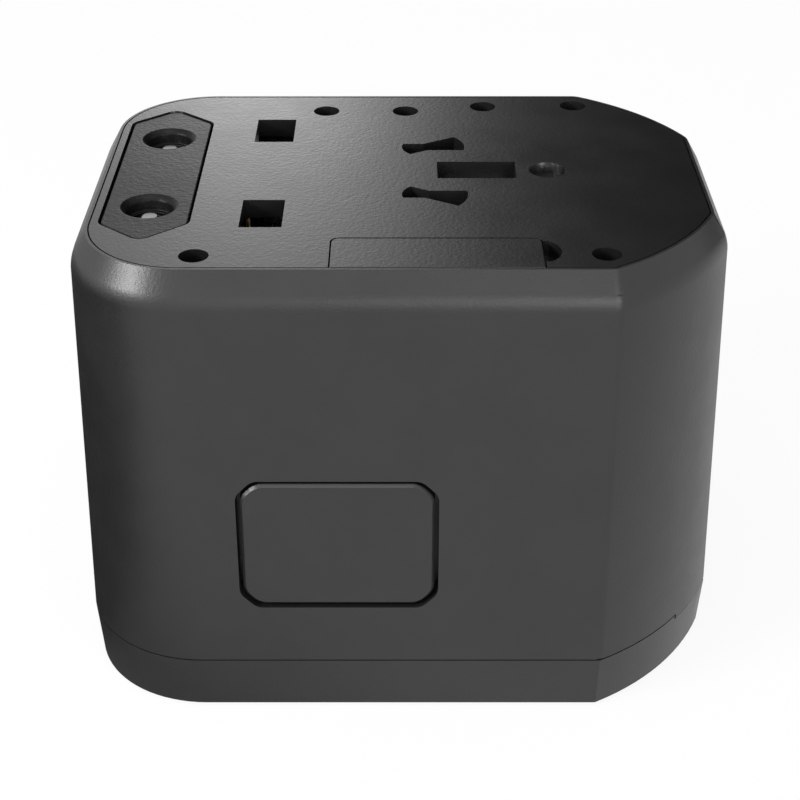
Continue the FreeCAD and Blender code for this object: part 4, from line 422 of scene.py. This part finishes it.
def shell_normals_group():
    """Gives a shell's outer skin the normals of its true curves instead of its facets'."""
    kinds = {"Geometry": (GEOMETRY, None)}, {"Geometry": GEOMETRY}
    tree, g, given, result = new_group("GeometryNodeTree", "shell_normals", *kinds)
    x, y, z = g.parts(g.add("GeometryNodeInputPosition").outputs[0])
    flat, bulge, past_flat, past_bulge, past_end = skin_places(g, x, y)
    bulging = g.math("SUBTRACT", past_bulge, past_flat)
    ending = g.math("SUBTRACT", past_end, past_bulge)
    bulge_share = g.line(bulging, -BULGE_BLEND, BULGE_BLEND, 0.0, 1.0)
    end_share = g.line(ending, -END_BLEND, END_BLEND, 0.0, 1.0)
    plan = g.blend(bulge_share, g.vector("NORMALIZE", flat), g.vector("NORMALIZE", bulge))
    plan = g.vector("NORMALIZE", g.blend(end_share, plan, (1.0, 0.0, 0.0)))
    upper = g.line(z, WALL_TOP_Z - ROLL_BELOW, WALL_TOP_Z + ROLL_ABOVE, WALL_LEAN, SHOULDER_LEAN)
    lower = g.line(z, 0.0, FOOT_Z, -math.pi / 2, CAP_LEAN)
    on_jog = g.product(g.math("GREATER_THAN", x, JOG_X), g.math("GREATER_THAN", z, JOG_Z))
    on_cap = g.product(g.math("LESS_THAN", z, CAP_TOP_Z), g.math("SUBTRACT", 1.0, on_jog))
    on_wall = g.math("SUBTRACT", 1.0, on_cap)
    lean = g.math("ADD", g.product(upper, on_wall), g.product(lower, on_cap))
    outward = g.vector("SCALE", plan, Scale=g.math("COSINE", lean))
    true_normal = g.vector("ADD", outward, g.point(0.0, 0.0, g.math("SINE", lean)))
    facing = g.add("GeometryNodeInputNormal").outputs[0]
    of_face = g.add("GeometryNodeFieldOnDomain", domain="FACE", data_type="FLOAT_VECTOR")
    g.feed(of_face.inputs[0], facing)
    alike = g.vector("DOT_PRODUCT", of_face.outputs[0], true_normal)
    on_skin = g.math("GREATER_THAN", alike, g.line(z, *FOOT_TOP, *ALIKE))
    put = g.add("GeometryNodeSetMeshNormal", mode="FREE", domain="CORNER")
    g.feed(put.inputs["Mesh"], given["Geometry"])
    g.feed(put.inputs["Custom Normal"], g.blend(on_skin, facing, true_normal))
    g.feed(result["Geometry"], put.outputs[0])
    return tree


# The turns in degrees that a shell's creases have, and the rise that tells upright from level ones
CREASE_TURNS = (18, 47)
HAIRLINE = 0.1 * MM
# How far past the pin face's outline a crease lies at least, at the seam and at the wall's top, and
# how much less at the floor than at the seam
PAST_AT_SEAM = 2.6 * MM
PAST_AT_WALL_TOP = 1.35 * MM
CAP_DEPTH = 1.3 * MM
# The button's corners: the height of its middle, how far they reach above and below it, and the y
# that they lie in front of. Their edges turn by this many degrees, rise less than this, and run
# further than this through the wall
BUTTON_Z = 21.44 * MM
BUTTON_REACH = 9.0 * MM
FRONT_Y = -21.0 * MM
CORNER_TURNS = (30, 60)
CORNER_RISE = 0.35 * MM
CORNER_RUN = 0.2 * MM
# The names that the edges are marked with
UPRIGHT = "upright_crease"
LEVEL = "level_crease"
PIERCED = "button_corner"


def crease_group():
    """Marks a shell's outer creases and the button's corners, which are softer than cut edges."""
    kinds = {"Geometry": (GEOMETRY, None)}, {"Geometry": GEOMETRY}
    tree, g, given, result = new_group("GeometryNodeTree", "mark_creases", *kinds)
    turn = g.add("GeometryNodeInputMeshEdgeAngle").outputs["Unsigned Angle"]
    x, y, z = g.parts(g.add("GeometryNodeInputPosition").outputs[0])
    ends = g.add("GeometryNodeInputMeshEdgeVertices").outputs
    along = g.parts(g.vector("SUBTRACT", ends[2], ends[3]))
    rise = g.math("ABSOLUTE", along["Z"])
    run = g.math("ABSOLUTE", along["Y"])

    def turns(low, high):
        above = g.math("GREATER_THAN", turn, math.radians(low))
        return g.product(above, g.math("LESS_THAN", turn, math.radians(high)))

    past_flat, past_bulge, past_end = skin_places(g, x, y)[2:]
    past = g.math("MAXIMUM", g.math("MAXIMUM", past_flat, past_bulge), past_end)
    least = g.line(z, SEAM_Z, WALL_TOP_Z, PAST_AT_SEAM, PAST_AT_WALL_TOP)
    least = g.math("SUBTRACT", least, g.line(z, WALL_TOP_Z, HEIGHT, 0.0, SHOULDER_DEPTH))
    least = g.math("SUBTRACT", least, g.line(z, SEAM_Z, 0.0, 0.0, CAP_DEPTH))
    creased = g.product(turns(*CREASE_TURNS), g.math("GREATER_THAN", past, least))
    short = g.math("LESS_THAN", rise, CORNER_RISE)
    through = g.product(short, g.math("GREATER_THAN", run, CORNER_RUN))
    in_front = g.math("LESS_THAN", y, FRONT_Y)
    off_middle = g.math("ABSOLUTE", g.math("SUBTRACT", z, BUTTON_Z))
    beside = g.math("LESS_THAN", off_middle, BUTTON_REACH)
    chosen = {
        UPRIGHT: g.product(creased, g.math("GREATER_THAN", rise, HAIRLINE)),
        LEVEL: g.product(creased, g.math("LESS_THAN", rise, HAIRLINE)),
        PIERCED: g.product(through, turns(*CORNER_TURNS), in_front, beside),
    }
    geometry = given["Geometry"]
    for name, weight in chosen.items():
        store = g.add("GeometryNodeStoreNamedAttribute", data_type="FLOAT", domain="EDGE")
        for label, value in (("Geometry", geometry), ("Name", name), ("Value", weight)):
            g.feed(store.inputs[label], value)
        geometry = store.outputs[0]
    g.feed(result["Geometry"], geometry)
    return tree


CREASE_MARKS = crease_group()
SHELL_NORMALS = shell_normals_group()

# How far the marked edges of a node roll, and how wide the other edges are rounded, in mm
ROLLS = {
    "casing": {UPRIGHT: 0.5, LEVEL: 1.0, PIERCED: 0.6},
    "release_button": {PIERCED: 0.7},
}
EDGE = 0.12
EDGES = {
    "casing": 0.09,
    "base_cap": 0.07,
    "pin_face_plate": 0.10,
    "eu_block": 0.25,
    "release_button": 0.30,
    "fuse_drawer": 0.10,
}
# Vertices nearer than this are one, facets that turn less are one flat, and edges that turn more
# are rounded
SAME_PLACE = 0.001 * MM
FLAT_TURN = math.radians(0.4)
SHARP_TURN = math.radians(32)


def ease_creases(node, rolls):
    """Rolls the marked edges; the marks are set anew before each roll."""
    for name, width in rolls.items():
        node.modifiers.new("mark_" + name, "NODES").node_group = CREASE_MARKS
        roll = node.modifiers.new("roll_" + name, "BEVEL")
        roll.limit_method = "WEIGHT"
        roll.edge_weight = name
        roll.width = width * MM
        roll.segments = 5
        roll.use_clamp_overlap = False


def soften(node, width):
    """Rounds the sharp edges of a CAD solid and smooths its curved faces."""
    node.modifiers.new("weld", "WELD").merge_threshold = SAME_PLACE
    flats = node.modifiers.new("flats", "DECIMATE")
    flats.decimate_type = "DISSOLVE"
    flats.angle_limit = FLAT_TURN
    flats.use_dissolve_boundaries = False
    ease_creases(node, ROLLS.get(node.name, {}))
    edges = node.modifiers.new("edges", "BEVEL")
    edges.limit_method = "ANGLE"
    edges.angle_limit = SHARP_TURN
    edges.width = width * MM
    edges.segments = 2
    edges.use_clamp_overlap = True
    edges.harden_normals = True
    normals = node.modifiers.new("normals", "WEIGHTED_NORMAL")
    normals.keep_sharp = True
    normals.weight = 60
    if node.name in ("casing", "base_cap"):
        node.modifiers.new("true_curves", "NODES").node_group = SHELL_NORMALS


def put_in_scene(name, data):
    made = bpy.data.objects.new(name, data)
    bpy.context.scene.collection.objects.link(made)
    return made


for material, names in FINISH.items():
    for name in names:
        node = NODES[name]
        node.data.materials.clear()
        node.data.materials.append(material)
        soften(node, EDGES.get(name, EDGE))

# The springs, each copied as a piece of its own that rides on its node's body: the piece that stands
# for each, its joint, its axis and its travel in mm
SPRINGS = {
    "latch_spring": ("bowed_leaf_spring", "release_button_press", (0, 1, 0), 1.8),
    "shutter_spring": ("folded_leaf_spring", "shutter_slide", (1, 0, 0), 7.6),
}
for name, (title, joint, axis, travel) in SPRINGS.items():
    spring = put_in_scene(title, NODES[name].data.copy())
    soften(spring, EDGE)
    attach(spring, BODY_OF[name])
    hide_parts(name)
    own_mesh(spring)


def seen_rays(g):
    """1 for camera, reflected and transmitted rays, and 0 for the others."""
    path = g.add("ShaderNodeLightPath").outputs
    seen = g.math("ADD", path["Is Camera Ray"], path["Is Glossy Ray"])
    return g.math("ADD", seen, path["Is Transmission Ray"], clamp=True)


def pale_floor():
    """A large white floor that keeps a faint shadow of the object."""
    reach = 6.0
    paint_level = 0.8
    glow_share = 0.9
    material = bpy.data.materials.new("pale_floor")
    material.use_nodes = True
    material.node_tree.nodes.clear()
    g = Graph(material.node_tree)
    paint = g.add("ShaderNodeBsdfDiffuse", {"Color": grey(paint_level)}).outputs[0]
    glow = g.add("ShaderNodeEmission", {"Color": grey(1.0), "Strength": 1.0}).outputs[0]
    share = g.math("MULTIPLY", seen_rays(g), glow_share)
    mixed = g.add("ShaderNodeMixShader", {0: share, 1: paint, 2: glow})
    g.add("ShaderNodeOutputMaterial", {"Surface": mixed.outputs[0]})
    mesh = bpy.data.meshes.new("floor")
    corners = [(-reach, -reach, 0), (reach, -reach, 0), (reach, reach, 0), (-reach, reach, 0)]
    mesh.from_pydata(corners, [], [(0, 1, 2, 3)])
    mesh.materials.append(material)
    put_in_scene("floor", mesh)


def dark_card(name, corners, fades):
    """A black studio card that only reflections see, to darken what a surface mirrors there.

    Each fade is (x, y, start, end): along x, y the card turns from clear at start to black at end.
    """
    mesh = bpy.data.meshes.new(name)
    mesh.from_pydata(corners, [], [tuple(range(len(corners)))])
    material, g, shader = new_material(name)
    place = g.place()
    shares = []
    for x, y, start, end in fades:
        along = g.vector("DOT_PRODUCT", place, (x, y, 0.0))
        shares.append(g.ramp(along, start, end))
    g.feed(shader["Base Color"], grey(CARD_LEVEL))
    g.feed(shader["Roughness"], 1.0)
    g.feed(shader["Specular IOR Level"], 0.0)
    g.feed(shader["Alpha"], g.product(1.0, *shares))
    mesh.materials.append(material)
    card = put_in_scene(name, mesh)
    card.visible_camera = False
    card.visible_diffuse = False
    card.visible_shadow = False
    card.visible_transmission = False


def soft_lamp(name, place, size, power, aim):
    """A rectangular soft lamp at place, pointed at aim."""
    data = bpy.data.lights.new(name, "AREA")
    data.shape = "RECTANGLE"
    data.size, data.size_y = size
    data.energy = power
    lamp = put_in_scene(name, data)
    lamp.location = place
    lamp.rotation_euler = (Vector(aim) - Vector(place)).to_track_quat("-Z", "Y").to_euler()


def plain_world(strength):
    """An even pale surround, white where it is seen or mirrored."""
    world = bpy.data.worlds.new("surround")
    world.use_nodes = True
    bpy.context.scene.world = world
    g = Graph(world.node_tree)
    background = world.node_tree.nodes["Background"].inputs
    g.feed(background["Color"], grey(1.0))
    g.feed(background["Strength"], g.ramp(seen_rays(g), 0.0, 1.0, strength, 1.0))


SURROUND = 0.55
# Lamps, in metres and watts: place, size, power and the point each one faces
PIN_FACE = (0.0, 0.0, HEIGHT)
MIDDLE = (0.0, 0.0, 0.03)
LAMPS = {
    "back_left_box": ((-0.060, 0.48, 0.158), (0.08, 0.10), 0.155, PIN_FACE),
    "left_front_box": ((-0.42, -0.25, 0.26), (0.20, 0.12), 2.6, MIDDLE),
    "front_low_box": ((0.22, -0.60, 0.16), (0.40, 0.16), 1.4, MIDDLE),
    "top_box": ((0.0, -0.25, 0.75), (0.50, 0.50), 2.0, MIDDLE),
}
# Cards, in metres: corners and fades. The second lies just above the floor
CARD_LEVEL = 0.004
LOW = 0.4 * MM
CARDS = {
    "back_right_card": (
        [(0.013, 0.406, -0.10), (0.467, 0.194, -0.10), (0.467, 0.194, 0.60), (0.013, 0.406, 0.60)],
        [],
    ),
    "left_floor_card": (
        [
            (-0.46, 0.40, LOW), (-0.46, -0.32, LOW), (-0.20, -0.24, LOW), (0.03, -0.075, LOW),
            (0.03, 0.40, LOW),
        ],
        [(-0.5, 0.87, -0.040, 0.012), (-0.6, -0.8, -0.10, 0.0), (-1.0, 0.0, -0.03, 0.03)],
    ),
}

pale_floor()
plain_world(SURROUND)
for name, (place, size, power, aim) in LAMPS.items():
    soft_lamp(name, place, size, power, aim)
for name, (corners, fades) in CARDS.items():
    dark_card(name, corners, fades)

camera = put_in_scene("photo_camera", bpy.data.cameras.new("photo_camera"))
camera.data.lens = LENS
camera.data.sensor_width = SENSOR
camera.data.shift_x = CAMERA_SHIFT
camera.data.clip_start = 0.01
camera.location = CAMERA_PLACE
camera.rotation_euler = (CAMERA_TILT, 0.0, 0.0)
bpy.context.scene.camera = camera
bpy.context.scene.view_settings.view_transform = "Standard"
